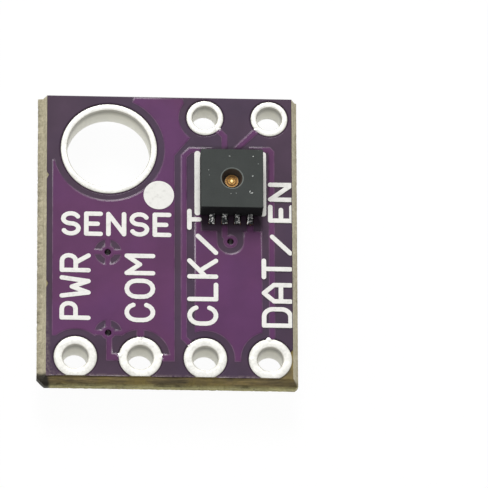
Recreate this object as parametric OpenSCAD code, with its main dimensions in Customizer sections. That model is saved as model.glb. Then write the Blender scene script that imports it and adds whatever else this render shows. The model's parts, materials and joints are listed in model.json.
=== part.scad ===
// Temperature and humidity sensor module: a small two-sided circuit board snapped out of a
// scored panel, with a row of four plated holes, two more for the alert and address lines,
// one mounting hole, and a moulded sensor with an open cavity over its sensing film.
// Millimetres. +Z is up from the component side, +X runs along the four-hole row, and the
// origin is the middle of the whole part's footprint, level with its lowest back component.

/* [Board] */
// Length of the board's face, across the four-hole row
board_l = 11.83; // [11.74:0.01:13]
// Thickness of the bare laminate
core_t = 1.1; // [0.8:0.05:1.6]
// From the board's left edge to the first hole of the row
column_inset = 1.15; // [1:0.01:1.4]
// From the last hole of the row to the board's right edge
far_column_inset = 0.89; // [0.87:0.02:2.23]
// From the board's front edge to the four-hole row
row_inset = 0.80; // [0.75:0.01:1.1]

/* [Scored edges] */
// Thickness of the web left between the two score grooves
web_t = 0.36; // [0.2:0.01:0.5]
// How far a groove's wall leans out from the face to its foot
score_lean = 0.15; // [0.05:0.01:0.25]
// How far the torn web stands proud on the left
tear_left = 0.20; // [0.05:0.01:0.3]
// How far the torn web stands proud on the right
tear_right = 0.07; // [0.02:0.01:0.3]
// How far the torn web stands proud at the front
tear_front = 0.11; // [0.02:0.01:0.3]
// Shoulder between a groove's foot and the torn face
tear_shoulder = 0.04; // [0.01:0.01:0.08]
// Piece missing from the web's left front corner
corner_loss_left = 0.30; // [0.05:0.01:0.35]
// Piece missing from the web's right front corner
corner_loss_right = 0.12; // [0.05:0.01:0.2]

/* [Wire holes] */
// Pitch of the holes in both rows
pitch = 2.54; // [2.3:0.01:2.54]
// From the board's far edge to the row of two holes
far_row_inset = 0.87; // [0.77:0.01:1.1]
// Finished bore of the wire holes
wire_hole_d = 1.0; // [0.8:0.01:1.1]
// Outer diameter of the four terminals' rings
terminal_ring_d = 1.70; // [1.5:0.01:1.74]
// Outer diameter of the two smaller rings in the far row
aux_ring_d = 1.46; // [1.3:0.01:1.5]
// Wall of the plated barrels
plating_t = 0.035; // [0.02:0.005:0.05]
// Tin on top of a ring's copper
tin_t = 0.02; // [0.01:0.005:0.04]
// How far a ring stops short of the board's edge
ring_setback = 0.03; // [0.01:0.01:0.06]

/* [Mounting hole] */
// Finished bore of the mounting hole
mount_hole_d = 3.3; // [2.5:0.1:3.4]
// Outer diameter of the ring round the mounting hole
mount_ring_d = 3.8; // [3.7:0.02:4]
// From the board's left edge to the mounting hole
mount_from_left = 2.44; // [2.3:0.01:2.5]
// From the board's far edge to the mounting hole
mount_from_back = 2.25; // [2.15:0.01:2.35]

/* [Copper and mask] */
// Thickness of the copper foil
copper_t = 0.035; // [0.018:0.001:0.07]
// How far the solder mask on the laminate stands above the foil's top
mask_lap = 0.012; // [0.008:0.001:0.02]
// Thickness of the solder mask on top of the foil
mask_cover = 0.035; // [0.025:0.001:0.05]
// Gap from a ring or lead pad to the edge of the mask round it
mask_pull = 0.05; // [0.03:0.01:0.08]
// Thickness of the white ink
ink_t = 0.02; // [0.01:0.005:0.03]
// Width of the signal traces
trace_w = 0.21; // [0.15:0.01:0.25]
// Gap from a ring to the ground copper round it
pour_gap = 0.31; // [0.2:0.01:0.33]
// Gap from the ground copper to the board's left edge
pour_inset = 0.24; // [0.1:0.01:0.3]
// Gap from the ground copper to the board's far edge
pour_back_inset = 0.07; // [0.04:0.01:0.2]
// Width of the bridges that join the ground copper to its terminal
bridge_w = 0.27; // [0.2:0.01:0.35]

/* [Vias] */
// Open bore of the vias
via_hole_d = 0.25; // [0.2:0.01:0.3]
// Outer diameter of the vias' rings
via_ring_d = 0.54; // [0.5:0.01:0.6]
// Wall of a via's barrel
via_wall = 0.025; // [0.015:0.005:0.03]
// Gap from a via's ring to the copper round it
via_gap = 0.26; // [0.15:0.01:0.3]
// Width of the bridges across that gap
via_bridge_w = 0.2; // [0.15:0.01:0.25]

/* [Sensor] */
// Side of the square sensor package
sensor_w = 2.45; // [2.4:0.01:2.55]
// Height of the sensor package
sensor_h = 0.9; // [0.8:0.01:1]
// Mouth of the cavity in the package's top
cavity_d = 0.94; // [0.8:0.01:1.1]
// Depth of the cavity
cavity_depth = 0.34; // [0.25:0.01:0.45]
// How far the cavity's wall leans in over its depth
cavity_lean = 0.08; // [0.03:0.01:0.12]
// Width of the bevel at the cavity's mouth
cavity_bevel = 0.03; // [0.01:0.005:0.05]
// Diameter of the sensing film
film_d = 0.58; // [0.4:0.01:0.6]
// Thickness of the sensing film's raised rings
film_t = 0.03; // [0.02:0.005:0.05]
// Pitch of the leads
lead_pitch = 0.5; // [0.45:0.01:0.52]
// Width of a lead
lead_w = 0.25; // [0.2:0.01:0.28]
// Length of a lead along the package's underside
lead_l = 0.35; // [0.25:0.01:0.4]
// Thickness of the leads and of the centre pad
lead_t = 0.2; // [0.15:0.01:0.25]
// Width of the centre pad
centre_pad_w = 1.7; // [1.5:0.05:1.75]
// Length of the centre pad
centre_pad_l = 1.0; // [0.8:0.05:1.05]
// Width of the sensor's chip
die_w = 1.3; // [1.2:0.05:1.5]
// Length of the sensor's chip
die_l = 0.9; // [0.85:0.05:0.95]
// How far the board's lead pads reach out past the package
pad_reach = 0.35; // [0.25:0.01:0.4]
// Thickness of the solder under leads and chips
solder_t = 0.05; // [0.04:0.005:0.07]

/* [Places on the front] */
// From the mounting hole's middle to the left corner of the left field of ground copper
field_apex_drop = 0.52; // [0.4:0.01:0.6]
// From the mounting hole's middle to the upper chip in the mask
upper_chip_drop = 1.14; // [0.9:0.01:1.4]
// From the row of four holes to the lower chip in the mask
lower_chip_rise = 3.05; // [2.8:0.01:3.3]
// From the middle of the last two columns to the sensor's middle
sensor_shift = 0.25; // [0.15:0.01:0.3]
// From the row of two holes to the sensor's middle
sensor_from_far_row = 2.92; // [2.85:0.01:3]
// From the sensor's middle to the clock trace beside it
clock_run_gap = 1.86; // [1.8:0.01:1.9]
// From the sensor's middle to the data trace beside it
data_run_gap = 1.60; // [1.55:0.01:1.65]
// From the sensor to the clock trace that passes beyond it
clock_cross_gap = 0.31; // [0.25:0.01:0.35]
// From the sensor to the data trace that passes beyond it
data_cross_gap = 0.37; // [0.3:0.01:0.4]
// Gap between the clock trace and the ground copper on its left
clock_gap_left = 0.265; // [0.2:0.005:0.3]
// Gap between the clock trace and the ground copper on its right
clock_gap_right = 0.33; // [0.2:0.005:0.35]
// Gap between the data trace and the ground copper on its left
data_gap = 0.285; // [0.2:0.005:0.3]
// From the lead pads to the ground copper in front of them
field_top_gap = 0.30; // [0.2:0.01:0.4]
// From the row of four holes to the end of the left field of ground copper
field_low_gap = 0.873; // [0.85:0.001:0.95]
// From the board's left edge to the upper via
upper_via_inset = 2.405; // [2.35:0.005:2.5]
// From the mounting hole's middle to the upper via
upper_via_drop = 4.38; // [4.2:0.01:4.6]
// From the board's left edge to the lower via
lower_via_inset = 2.43; // [2.35:0.005:2.5]
// From the end of the left field of ground copper to the lower via
lower_via_rise = 0.14; // [0.1:0.01:0.2]
// From the second lead's row to the reset via
reset_via_drop = 1.085; // [1:0.005:1.2]
// From the sensor's middle to the reset via, across
reset_via_shift = 0.025; // [0:0.005:0.05]
// Diameter of the white dot
dot_d = 1.2; // [1:0.05:1.3]
// From the clock trace's channel to the dot's middle
dot_gap = 0.613; // [0.61:0.001:0.7]
// From the sensor's middle to the dot's, along the board
dot_drop = 0.41; // [0.3:0.01:0.5]
// Width of the white bars beside the sensor
bar_w = 0.235; // [0.2:0.005:0.25]
// From the sensor's middle to the left bar
bar_left_gap = 1.32; // [1.3:0.01:1.36]
// From the sensor's middle to the right bar
bar_right_gap = 1.27; // [1.26:0.01:1.36]
// How far the bars reach past the sensor's near side
bar_near_reach = 0.01; // [0:0.01:0.1]
// How far the bars reach past the sensor's far side
bar_far_reach = 0.27; // [0.2:0.01:0.3]

/* [Back components] */
// Length of the chip resistors
resistor_l = 1.6; // [1.5:0.05:1.7]
// Width of the chip resistors
resistor_w = 0.8; // [0.7:0.05:0.9]
// Height of the chip resistors
resistor_h = 0.45; // [0.35:0.01:0.5]
// Length of the chip capacitor
capacitor_l = 1.0; // [0.95:0.05:1.1]
// Width of the chip capacitor
capacitor_w = 0.5; // [0.45:0.05:0.6]
// Height of the chip capacitor
capacitor_h = 0.5; // [0.5:0.01:0.6]
// Wall of the metal caps on the chips' ends
cap_wall = 0.03; // [0.02:0.005:0.04]
// Share of a chip's length that one metal cap covers
cap_share = 0.2; // [0.15:0.01:0.25]
// From the row of four holes to the clock and data resistors
resistor_rise = 2.48; // [2.4:0.01:2.6]
// From the last column to the data resistor
data_resistor_shift = 0.25; // [0.2:0.01:0.3]
// From the last column to the address resistor
address_resistor_shift = 0.15; // [0.1:0.01:0.2]
// From the row of two holes to the address resistor
address_resistor_drop = 2.88; // [2.8:0.01:3]
// From the first column to the capacitor
capacitor_shift = 0.90; // [0.85:0.01:1]
// From the mounting hole's middle to the capacitor
capacitor_drop = 3.10; // [3:0.01:3.2]
// How far a chip's pads on the board reach out past its ends
chip_pad_out = 0.25; // [0.2:0.01:0.3]
// How far they reach in past its metal caps
chip_pad_in = 0.05; // [0.02:0.01:0.08]
// How far they reach out past its sides
chip_pad_side = 0.05; // [0.02:0.01:0.08]
// Gap from the back's ground copper to the board's edges
back_inset = 0.25; // [0.2:0.01:0.35]
// Width of the supply rail on the back
rail_w = 0.40; // [0.3:0.01:0.5]

/* [Hidden] */
$fn = 64;

// Overshoot of a cutting solid past the face that it cuts
over = 0.2;

// Plan places are measured from the layout centre: the middle of the four-hole row across,
// and midway between the two rows
rows_apart = board_l - row_inset - far_row_inset;
left = -1.5 * pitch - column_inset;
right = 1.5 * pitch + far_column_inset;
front = -rows_apart / 2 - row_inset;
back = front + board_l;
row_y = -rows_apart / 2;
far_row_y = rows_apart / 2;
columns = [for (i = [0 : 3]) (i - 1.5) * pitch];
mount_x = left + mount_from_left;
mount_y = back - mount_from_back;

// The torn web reaches past the face on three sides, and the far edge is cut straight
web_left = left - score_lean - tear_left;
web_right = right + score_lean + tear_right;
web_front = front - score_lean - tear_front;
centre_x = (web_left + web_right) / 2;
centre_y = (web_front + back) / 2;

// Heights
mask_low = copper_t + mask_lap;
mask_high = copper_t + mask_cover;
chip_seat = max(copper_t + solder_t, mask_high + 0.005);
core_z0 = max(capacitor_h, resistor_h) + chip_seat;
core_z1 = core_z0 + core_t;
score_depth = (core_t - web_t) / 2;
ring_t = copper_t + tin_t;
sensor_z0 = core_z1 + max(copper_t + solder_t, mask_high + ink_t + 0.005);
sensor_z1 = sensor_z0 + sensor_h;
cavity_z = sensor_z1 - cavity_depth;

// The sensor sits between the last two columns, a little towards the mounting hole
sensor_x = (columns[2] + columns[3]) / 2 - sensor_shift;
sensor_y = far_row_y - sensor_from_far_row;
lead_xs = [for (i = [0 : 3]) sensor_x + (i - 1.5) * lead_pitch];
lead_near = sensor_y - sensor_w / 2;
lead_far = sensor_y + sensor_w / 2;
pad_in = lead_l + 0.03;

// Vertical runs of the clock and data traces on either side of the sensor
clock_x = sensor_x - clock_run_gap;
data_x = sensor_x + data_run_gap;
clock_cross_y = lead_far + clock_cross_gap;
data_cross_y = lead_far + data_cross_gap;

// Edges of the two fields of ground copper on the front
channel_left = clock_x - trace_w / 2 - clock_gap_left;
channel_right = clock_x + trace_w / 2 + clock_gap_right;
data_side = data_x - trace_w / 2 - data_gap;
field_top = lead_near - pad_reach - field_top_gap;
field_low = row_y + field_low_gap;
field_apex = mount_y - field_apex_drop;

// Vias
upper_via = [left + upper_via_inset, mount_y - upper_via_drop];
lower_via = [left + lower_via_inset, field_low + lower_via_rise];
reset_via_at = [sensor_x - reset_via_shift, lead_near - reset_via_drop];
supply_via_at = [lead_xs[0], lead_near + via_ring_d / 2 + 0.04];
via_clear_r = via_ring_d / 2 + via_gap;

// Back components
clock_chip = [columns[2], row_y + resistor_rise];
data_chip = [columns[3] - data_resistor_shift, row_y + resistor_rise];
address_chip = [columns[3] - address_resistor_shift, far_row_y - address_resistor_drop];
capacitor_at = [columns[0] + capacitor_shift, mount_y - capacitor_drop];
rail_y = clock_chip[1] + resistor_l / 2;

// White marks: a dot beside the first lead's corner, and a bar along each side of the sensor
dot_at = [channel_left - dot_gap, sensor_y - dot_drop];
bar_left_x = sensor_x - bar_left_gap;
bar_right_x = sensor_x + bar_right_gap;
bar_low_y = lead_near - bar_near_reach;
bar_high_y = lead_far + bar_far_reach;

// Where the photograph shows the mask chipped away at the left edge
chips_y = [mount_y - upper_chip_drop, row_y + lower_chip_rise];
chip_depth = 0.085;
chip_half = 0.16;
chip_skew = 0.02;
// The back corners of the left field: the first is measured from the mounting hole, the others
// from the nearer hole of the far row
corner_from_mount = 1.01;
corner_from_far_hole = 0.88;
shoulder_from_far_hole = 0.59;
shoulder_drop = 0.86;
corner_from_clock = 0.25;
// The link from the lower via to the ground terminal's bridge
via_leg_shift = 0.035;
// The bends of the links on the back, beyond a chip's pad
link_bend_near = 0.3;
link_bend_far = 0.6;
// Clearance of the ground copper on the back
back_gap = 0.25;
// How far a bridge reaches into the copper that it joins
bridge_lap = 0.05;
// The bare strip beside the last terminal
bare_w = 0.15;
bare_top = row_y + 0.42;

// Outlines

function ribbon_side(p, w, s) = [for (i = [0 : len(p) - 1])
    let (
        a = i == 0 ? p[1] - p[0] : p[i] - p[i - 1],
        b = i == len(p) - 1 ? p[i] - p[i - 1] : p[i + 1] - p[i],
        u = a / norm(a),
        v = b / norm(b),
        n = [-u[1] - v[1], u[0] + v[0]],
        k = 1 / (1 + u * v)
    ) p[i] + s * w / 2 * n * k];

function backwards(p) = [for (i = [len(p) - 1 : -1 : 0]) p[i]];

// Every outline below is drawn as a prism that stands on Z = 0 and is $h high, so that one
// outline serves the foil, the mask that lies over it and the ink on top
$h = 1;

// A strip along a path, with mitred bends
module ribbon(path, w) {
    linear_extrude($h) polygon(concat(ribbon_side(path, w, 1), backwards(ribbon_side(path, w, -1))));
}

module rect(x0, y0, x1, y1) {
    translate([x0, y0, 0]) cube([x1 - x0, y1 - y0, $h]);
}

module disc(at, d) {
    translate([at[0], at[1], 0]) cylinder(h = $h, d = d);
}

// The same outlines made taller at both ends, for cutting
module cutter() {
    h = $h;
    translate([0, 0, -over]) let ($h = h + 2 * over) children();
}

// The board's face, drawn in from its edges
module face(inset = 0) {
    rect(left + inset, front + inset, right - inset, back - inset);
}

// One lead's pad on the board, for a lead in the near (-1) or far (1) row
module lead_pad(i, side, grow = 0) {
    edge = side < 0 ? lead_near : lead_far;
    y_out = edge + side * (pad_reach + grow);
    y_in = edge - side * (pad_in + grow);
    rect(lead_xs[i] - lead_w / 2 - grow, min(y_in, y_out),
         lead_xs[i] + lead_w / 2 + grow, max(y_in, y_out));
}

module centre_pad(grow = 0) {
    half_w = centre_pad_w / 2 + grow;
    half_l = centre_pad_l / 2 + grow;
    rect(sensor_x - half_w, sensor_y - half_l, sensor_x + half_w, sensor_y + half_l);
}

// One of a chip's two pads on the back, above (1) or below (-1) its middle
module chip_pad(at, l, w, side, grow = 0) {
    y_in = at[1] + side * (l / 2 - cap_share * l - chip_pad_in - grow);
    y_out = at[1] + side * (l / 2 + chip_pad_out + grow);
    side_out = w / 2 + chip_pad_side + grow;
    rect(at[0] - side_out, min(y_in, y_out), at[0] + side_out, max(y_in, y_out));
}

module terminal_gaps(columns_used, y, ring_d) {
    for (i = columns_used) disc([columns[i], y], ring_d + 2 * pour_gap);
}

// Bridges across the gap round a via, in a cross
module via_bridges(at) {
    long = via_clear_r + bridge_lap;
    short = via_bridge_w / 2;
    rect(at[0] - long, at[1] - short, at[0] + long, at[1] + short);
    rect(at[0] - short, at[1] - short, at[0] + short, at[1] + long);
}

// Foil on the front

module front_ground_shape() {
    g = columns[1];
    half = bridge_w / 2;
    leg_x = lower_via[0] + via_leg_shift;
    difference() {
        linear_extrude($h) polygon([
            [left + pour_inset, field_low],
            [left + pour_inset, field_apex],
            [mount_x, mount_y],
            [mount_x + corner_from_mount, back - pour_back_inset],
            [columns[2] - corner_from_far_hole, back - pour_back_inset],
            [columns[2] - shoulder_from_far_hole, far_row_y - shoulder_drop],
            [channel_left, clock_cross_y - corner_from_clock],
            [channel_left, row_y - half],
            [g, row_y - half],
            [g, field_low]
        ]);
        cutter() {
            disc([mount_x, mount_y], mount_ring_d + 2 * pour_gap);
            terminal_gaps([0, 1], row_y, terminal_ring_d);
            terminal_gaps([2], far_row_y, aux_ring_d);
            disc(upper_via, 2 * via_clear_r);
            disc(lower_via, 2 * via_clear_r);
        }
    }
    via_bridges(upper_via);
    rect(upper_via[0] - via_bridge_w / 2, upper_via[1] - via_clear_r - bridge_lap,
         upper_via[0] + via_bridge_w / 2, upper_via[1]);
    via_bridges(lower_via);
    rect(leg_x - trace_w / 2, row_y - half, leg_x + trace_w / 2, lower_via[1]);
    rect(leg_x, row_y - half, channel_left, row_y + half);
    rect(g - half, row_y, g + half, row_y + terminal_ring_d / 2 + pour_gap + 0.1);
}

module sensor_ground_shape() {
    r = reset_via_at;
    side_x = channel_right + trace_w / 2 + 0.03;
    half = lead_w / 2;
    difference() {
        rect(channel_right, row_y - 0.11, data_side, field_top);
        cutter() {
            terminal_gaps([2, 3], row_y, terminal_ring_d);
            disc(r, 2 * via_clear_r);
            rect(r[0] - via_clear_r, r[1], r[0] + via_clear_r, field_top + over);
        }
    }
    ribbon([[side_x, field_top - 0.1], [side_x, sensor_y], [sensor_x, sensor_y]], trace_w);
    centre_pad();
    lead_pad(2, -1);
    rect(lead_xs[2] - half, lead_near, lead_xs[2] + half, sensor_y);
    rect(lead_xs[3] - half, field_top - 0.1, lead_xs[3] + half, sensor_y);
}

module clock_shape() {
    ribbon([
        [columns[2], row_y],
        [clock_x, row_y + columns[2] - clock_x],
        [clock_x, clock_cross_y - 0.26],
        [clock_x + 0.26, clock_cross_y],
        [lead_xs[0], clock_cross_y]
    ], trace_w);
    lead_pad(0, 1);
}

module data_shape() {
    ribbon([
        [columns[3], row_y],
        [data_x, row_y + 0.5],
        [data_x, data_cross_y - 0.1],
        [data_x - 0.1, data_cross_y],
        [lead_xs[3], data_cross_y]
    ], trace_w);
    lead_pad(3, 1);
}

module alert_shape() {
    run = lead_xs[1] - columns[2];
    ribbon([
        [lead_xs[1], lead_far],
        [lead_xs[1], far_row_y - run],
        [columns[2], far_row_y]
    ], trace_w);
    lead_pad(1, 1);
}

module address_shape() {
    run = columns[3] - lead_xs[2];
    ribbon([
        [lead_xs[2], lead_far],
        [lead_xs[2], far_row_y - run],
        [columns[3], far_row_y]
    ], trace_w);
    lead_pad(2, 1);
}

module reset_shape() {
    jog = reset_via_at[0] - lead_xs[1];
    ribbon([
        [lead_xs[1], lead_near],
        [lead_xs[1], reset_via_at[1] + jog],
        reset_via_at
    ], trace_w);
    lead_pad(1, -1);
}

module supply_shape() {
    lead_pad(0, -1);
}

// Foil on the back

module back_supply_shape() {
    s = columns[0];
    rail_end = data_chip[0];
    ribbon([[s, row_y], [s, rail_y], [rail_end, rail_y]], rail_w);
    ribbon([
        [s, rail_y],
        [s, capacitor_at[1] - capacitor_l / 2],
        [capacitor_at[0], capacitor_at[1] - capacitor_l / 2]
    ], rail_w);
    ribbon([
        [reset_via_at[0], rail_y],
        reset_via_at,
        [supply_via_at[0], reset_via_at[1] + reset_via_at[0] - supply_via_at[0]],
        supply_via_at
    ], trace_w);
    chip_pad(clock_chip, resistor_l, resistor_w, 1);
    chip_pad(data_chip, resistor_l, resistor_w, 1);
    chip_pad(capacitor_at, capacitor_l, capacitor_w, -1);
}

module back_clock_shape() {
    ribbon([[columns[2], row_y], [columns[2], clock_chip[1] - resistor_l / 2]], trace_w);
    chip_pad(clock_chip, resistor_l, resistor_w, -1);
}

module back_data_shape() {
    end_y = data_chip[1] - resistor_l / 2;
    ribbon([
        [columns[3], row_y],
        [columns[3], end_y - chip_pad_out - link_bend_far],
        [data_chip[0], end_y - chip_pad_out - link_bend_near],
        [data_chip[0], end_y]
    ], trace_w);
    chip_pad(data_chip, resistor_l, resistor_w, -1);
}

module back_address_shape() {
    start_y = address_chip[1] + resistor_l / 2;
    ribbon([
        [address_chip[0], start_y],
        [address_chip[0], start_y + chip_pad_out + link_bend_near],
        [columns[3], start_y + chip_pad_out + link_bend_far],
        [columns[3], far_row_y]
    ], trace_w);
    chip_pad(address_chip, resistor_l, resistor_w, 1);
}

// Clearance that the back's ground copper keeps round everything that is not ground
module back_gaps() {
    gap = back_gap;
    s = columns[0];
    wide = trace_w + 2 * gap;
    ribbon([[s, row_y], [s, rail_y], [data_chip[0], rail_y]], rail_w + 2 * gap);
    rect(s - rail_w / 2 - gap, rail_y, s + rail_w / 2 + gap,
         capacitor_at[1] - capacitor_l / 2 + rail_w / 2 + gap);
    ribbon([
        [reset_via_at[0], rail_y],
        reset_via_at,
        [supply_via_at[0], reset_via_at[1] + reset_via_at[0] - supply_via_at[0]],
        supply_via_at
    ], wide);
    ribbon([[columns[2], row_y], [columns[2], rail_y]], wide);
    ribbon([[columns[3], address_chip[1]], [columns[3], far_row_y]], wide + 0.2);
    for (side = [-1, 1]) {
        chip_pad(clock_chip, resistor_l, resistor_w, side, gap);
        chip_pad(data_chip, resistor_l, resistor_w, side, gap);
    }
    chip_pad(capacitor_at, capacitor_l, capacitor_w, -1, gap);
    chip_pad(address_chip, resistor_l, resistor_w, 1, gap);
    rect(data_chip[0] - wide / 2, row_y, columns[3] + wide / 2, data_chip[1]);
    terminal_gaps([0, 1, 2, 3], row_y, terminal_ring_d);
    terminal_gaps([2, 3], far_row_y, aux_ring_d);
    disc([mount_x, mount_y], mount_ring_d + 2 * pour_gap);
    rect(left, mount_y, mount_x, back);
    disc(reset_via_at, via_ring_d + 2 * gap);
    disc(supply_via_at, via_ring_d + 2 * gap);
}

module back_ground_shape() {
    g = columns[1];
    reach = terminal_ring_d / 2 + pour_gap + 0.1;
    difference() {
        face(back_inset);
        cutter() back_gaps();
    }
    rect(g - bridge_w / 2, row_y, g + bridge_w / 2, row_y + reach);
    rect(g - reach, row_y - bridge_w / 2, g + reach, row_y + bridge_w / 2);
    chip_pad(capacitor_at, capacitor_l, capacitor_w, 1);
    chip_pad(address_chip, resistor_l, resistor_w, -1);
}

// Rings and bores, drawn as discs for the foil and mask to be cut by

module bore_discs(grow) {
    for (x = columns) disc([x, row_y], wire_hole_d + grow);
    for (i = [2, 3]) disc([columns[i], far_row_y], wire_hole_d + grow);
    disc([mount_x, mount_y], mount_hole_d + grow);
}

module ring_discs(grow) {
    for (x = columns) disc([x, row_y], terminal_ring_d + grow);
    for (i = [2, 3]) disc([columns[i], far_row_y], aux_ring_d + grow);
    disc([mount_x, mount_y], mount_ring_d + grow);
    bore_discs(2 * plating_t + grow);
}

module via_discs(d) {
    for (at = [upper_via, lower_via, reset_via_at, supply_via_at, [sensor_x, sensor_y]]) disc(at, d);
}

module front_foil() {
    front_ground_shape();
    sensor_ground_shape();
    clock_shape();
    data_shape();
    alert_shape();
    address_shape();
    reset_shape();
    supply_shape();
    via_discs(via_ring_d);
}

module back_foil() {
    back_ground_shape();
    back_supply_shape();
    back_clock_shape();
    back_data_shape();
    back_address_shape();
    via_discs(via_ring_d);
}

module front_windows() {
    ring_discs(2 * mask_pull);
    for (i = [0 : 3]) {
        lead_pad(i, -1, mask_pull);
        lead_pad(i, 1, mask_pull);
    }
    centre_pad(mask_pull);
    via_discs(via_hole_d);
}

module back_windows() {
    ring_discs(2 * mask_pull);
    for (side = [-1, 1]) {
        chip_pad(clock_chip, resistor_l, resistor_w, side, mask_pull);
        chip_pad(data_chip, resistor_l, resistor_w, side, mask_pull);
        chip_pad(address_chip, resistor_l, resistor_w, side, mask_pull);
        chip_pad(capacitor_at, capacitor_l, capacitor_w, side, mask_pull);
    }
    via_discs(via_hole_d);
}

// The places where the mask is chipped off
module mask_losses() {
    for (y = chips_y)
        linear_extrude($h) polygon([
            [left - over, y - chip_half],
            [left, y - chip_half],
            [left + chip_depth, y + chip_skew],
            [left, y + chip_half],
            [left - over, y + chip_half]
        ]);
    linear_extrude($h) polygon([
        [right + over, front - over],
        [right + over, bare_top],
        [right - 0.04, bare_top],
        [right - bare_w, row_y - 0.2],
        [right - bare_w - 0.2, row_y - 0.62],
        [right - 0.75, front - over]
    ]);
}

// Solids

// A layer of foil, less the rings that the barrels bring with them
module foil_layer(z) {
    $h = copper_t;
    translate([0, 0, z]) difference() {
        children();
        cutter() {
            ring_discs(0);
            via_discs(via_ring_d);
        }
    }
}

// A coat of mask that lies on the laminate and rises over the foil, built upwards from 0.
// The first child is the foil and the second what the mask leaves open.
module mask_coat() {
    difference() {
        union() {
            let ($h = mask_low) face();
            let ($h = mask_high) children(0);
        }
        translate([0, 0, -over]) let ($h = copper_t + over) children(0);
        translate([0, 0, -over]) let ($h = mask_high + 2 * over) children(1);
    }
}

// Ink laid on the front mask, level on top and filled down to the mask below it
module ink() {
    difference() {
        translate([0, 0, core_z1 + mask_low]) let ($h = mask_high - mask_low + ink_t) children();
        translate([0, 0, core_z1]) let ($h = mask_high) front_foil();
    }
}

// A plated hole's barrel with a ring on each face, and no ring past the board's edge
module plated_barrel(at, bore_d, ring_d, wall, ring_h) {
    r = bore_d / 2;
    ease = min(0.02, ring_h / 3);
    low = core_z0 - ring_h;
    high = core_z1 + ring_h;
    intersection() {
        translate([at[0], at[1], 0]) difference() {
            union() {
                translate([0, 0, low]) cylinder(h = high - low, r = r + wall);
                translate([0, 0, low]) cylinder(h = ring_h, d = ring_d);
                translate([0, 0, core_z1]) cylinder(h = ring_h, d = ring_d);
            }
            rotate_extrude() polygon([
                [0, low - over],
                [r + ease + over, low - over],
                [r, low + ease],
                [r, high - ease],
                [r + ease + over, high + over],
                [0, high + over]
            ]);
        }
        translate([0, 0, low - over]) let ($h = high - low + 2 * over) face(ring_setback);
    }
}

module terminal(i) {
    plated_barrel([columns[i], row_y], wire_hole_d, terminal_ring_d, plating_t, ring_t);
}

module far_terminal(i) {
    plated_barrel([columns[i], far_row_y], wire_hole_d, aux_ring_d, plating_t, ring_t);
}

module via(at) {
    plated_barrel(at, via_hole_d, via_ring_d, via_wall, copper_t);
}

// The points of a scored and snapped edge from the top face down, out to -1 or 1
function scored_side(x, out, tear) =
    let (
        foot = x + out * score_lean,
        torn = foot + out * tear,
        high = core_z1 - score_depth,
        low = core_z0 + score_depth
    ) [
        [x, core_z1],
        [foot, high],
        [torn, high - tear_shoulder],
        [torn, low + tear_shoulder],
        [foot, low],
        [x, core_z0]
    ];

// A vertical cut through the corner of the torn web, side being -1 on the left and 1 on the right
module corner_loss(x, side, loss) {
    translate([x, web_front, core_z0 - over])
        linear_extrude(core_t + 2 * over)
            polygon([
                [side * over, -over],
                [-side * (loss + over), -over],
                [side * over, loss + over]
            ]);
}

module woven_laminate() color("#b7ae8c") {
    width = web_right - web_left + 2 * over;
    length = back - web_front + 2 * over;
    difference() {
        intersection() {
            translate([0, back + over, 0]) rotate([90, 0, 0]) linear_extrude(length)
                polygon(concat(
                    scored_side(left, -1, tear_left),
                    backwards(scored_side(right, 1, tear_right))
                ));
            translate([web_left - over, 0, 0]) rotate([90, 0, 90]) linear_extrude(width)
                polygon(concat(
                    scored_side(front, -1, tear_front),
                    [[back, core_z0], [back, core_z1]]
                ));
        }
        translate([0, 0, core_z0 - over]) let ($h = core_t + 2 * over) {
            bore_discs(2 * plating_t);
            via_discs(via_hole_d + 2 * via_wall);
        }
        corner_loss(web_left, -1, corner_loss_left);
        corner_loss(web_right, 1, corner_loss_right);
    }
}

module front_mask() color("#4c4250")
    translate([0, 0, core_z1]) mask_coat() {
        front_foil();
        union() {
            front_windows();
            mask_losses();
        }
    }

module back_mask() color("#4c4250")
    translate([0, 0, core_z0]) mirror([0, 0, 1]) mask_coat() {
        back_foil();
        back_windows();
    }

module front_ground_copper() color("#b87a4b") foil_layer(core_z1) front_ground_shape();
module sensor_ground_copper() color("#b87a4b") foil_layer(core_z1) sensor_ground_shape();
module clock_trace() color("#b87a4b") foil_layer(core_z1) clock_shape();
module data_trace() color("#b87a4b") foil_layer(core_z1) data_shape();
module alert_trace() color("#b87a4b") foil_layer(core_z1) alert_shape();
module address_trace() color("#b87a4b") foil_layer(core_z1) address_shape();
module reset_trace() color("#b87a4b") foil_layer(core_z1) reset_shape();
module supply_trace() color("#b87a4b") foil_layer(core_z1) supply_shape();

module back_ground_copper() color("#b87a4b") foil_layer(core_z0 - copper_t) back_ground_shape();
module back_supply_rail() color("#b87a4b") foil_layer(core_z0 - copper_t) back_supply_shape();
module back_clock_link() color("#b87a4b") foil_layer(core_z0 - copper_t) back_clock_shape();
module back_data_link() color("#b87a4b") foil_layer(core_z0 - copper_t) back_data_shape();
module back_address_link() color("#b87a4b") foil_layer(core_z0 - copper_t) back_address_shape();

module supply_terminal() color("#e6e4d8") terminal(0);
module ground_terminal() color("#e6e4d8") terminal(1);
module clock_terminal() color("#e6e4d8") terminal(2);
module data_terminal() color("#e6e4d8") terminal(3);
module alert_terminal() color("#e6e4d8") far_terminal(2);
module address_terminal() color("#e6e4d8") far_terminal(3);
module mounting_hole_lining() color("#e6e4d8")
    plated_barrel([mount_x, mount_y], mount_hole_d, mount_ring_d, plating_t, ring_t);

module ground_via_upper() color("#8a6a70") via(upper_via);
module ground_via_lower() color("#8a6a70") via(lower_via);
module reset_via() color("#8a6a70") via(reset_via_at);
module supply_via() color("#8a6a70") via(supply_via_at);
module sensor_pad_via() color("#8a6a70") via([sensor_x, sensor_y]);

module orientation_dot() color("#e8e8e8") ink() disc(dot_at, dot_d);

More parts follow.
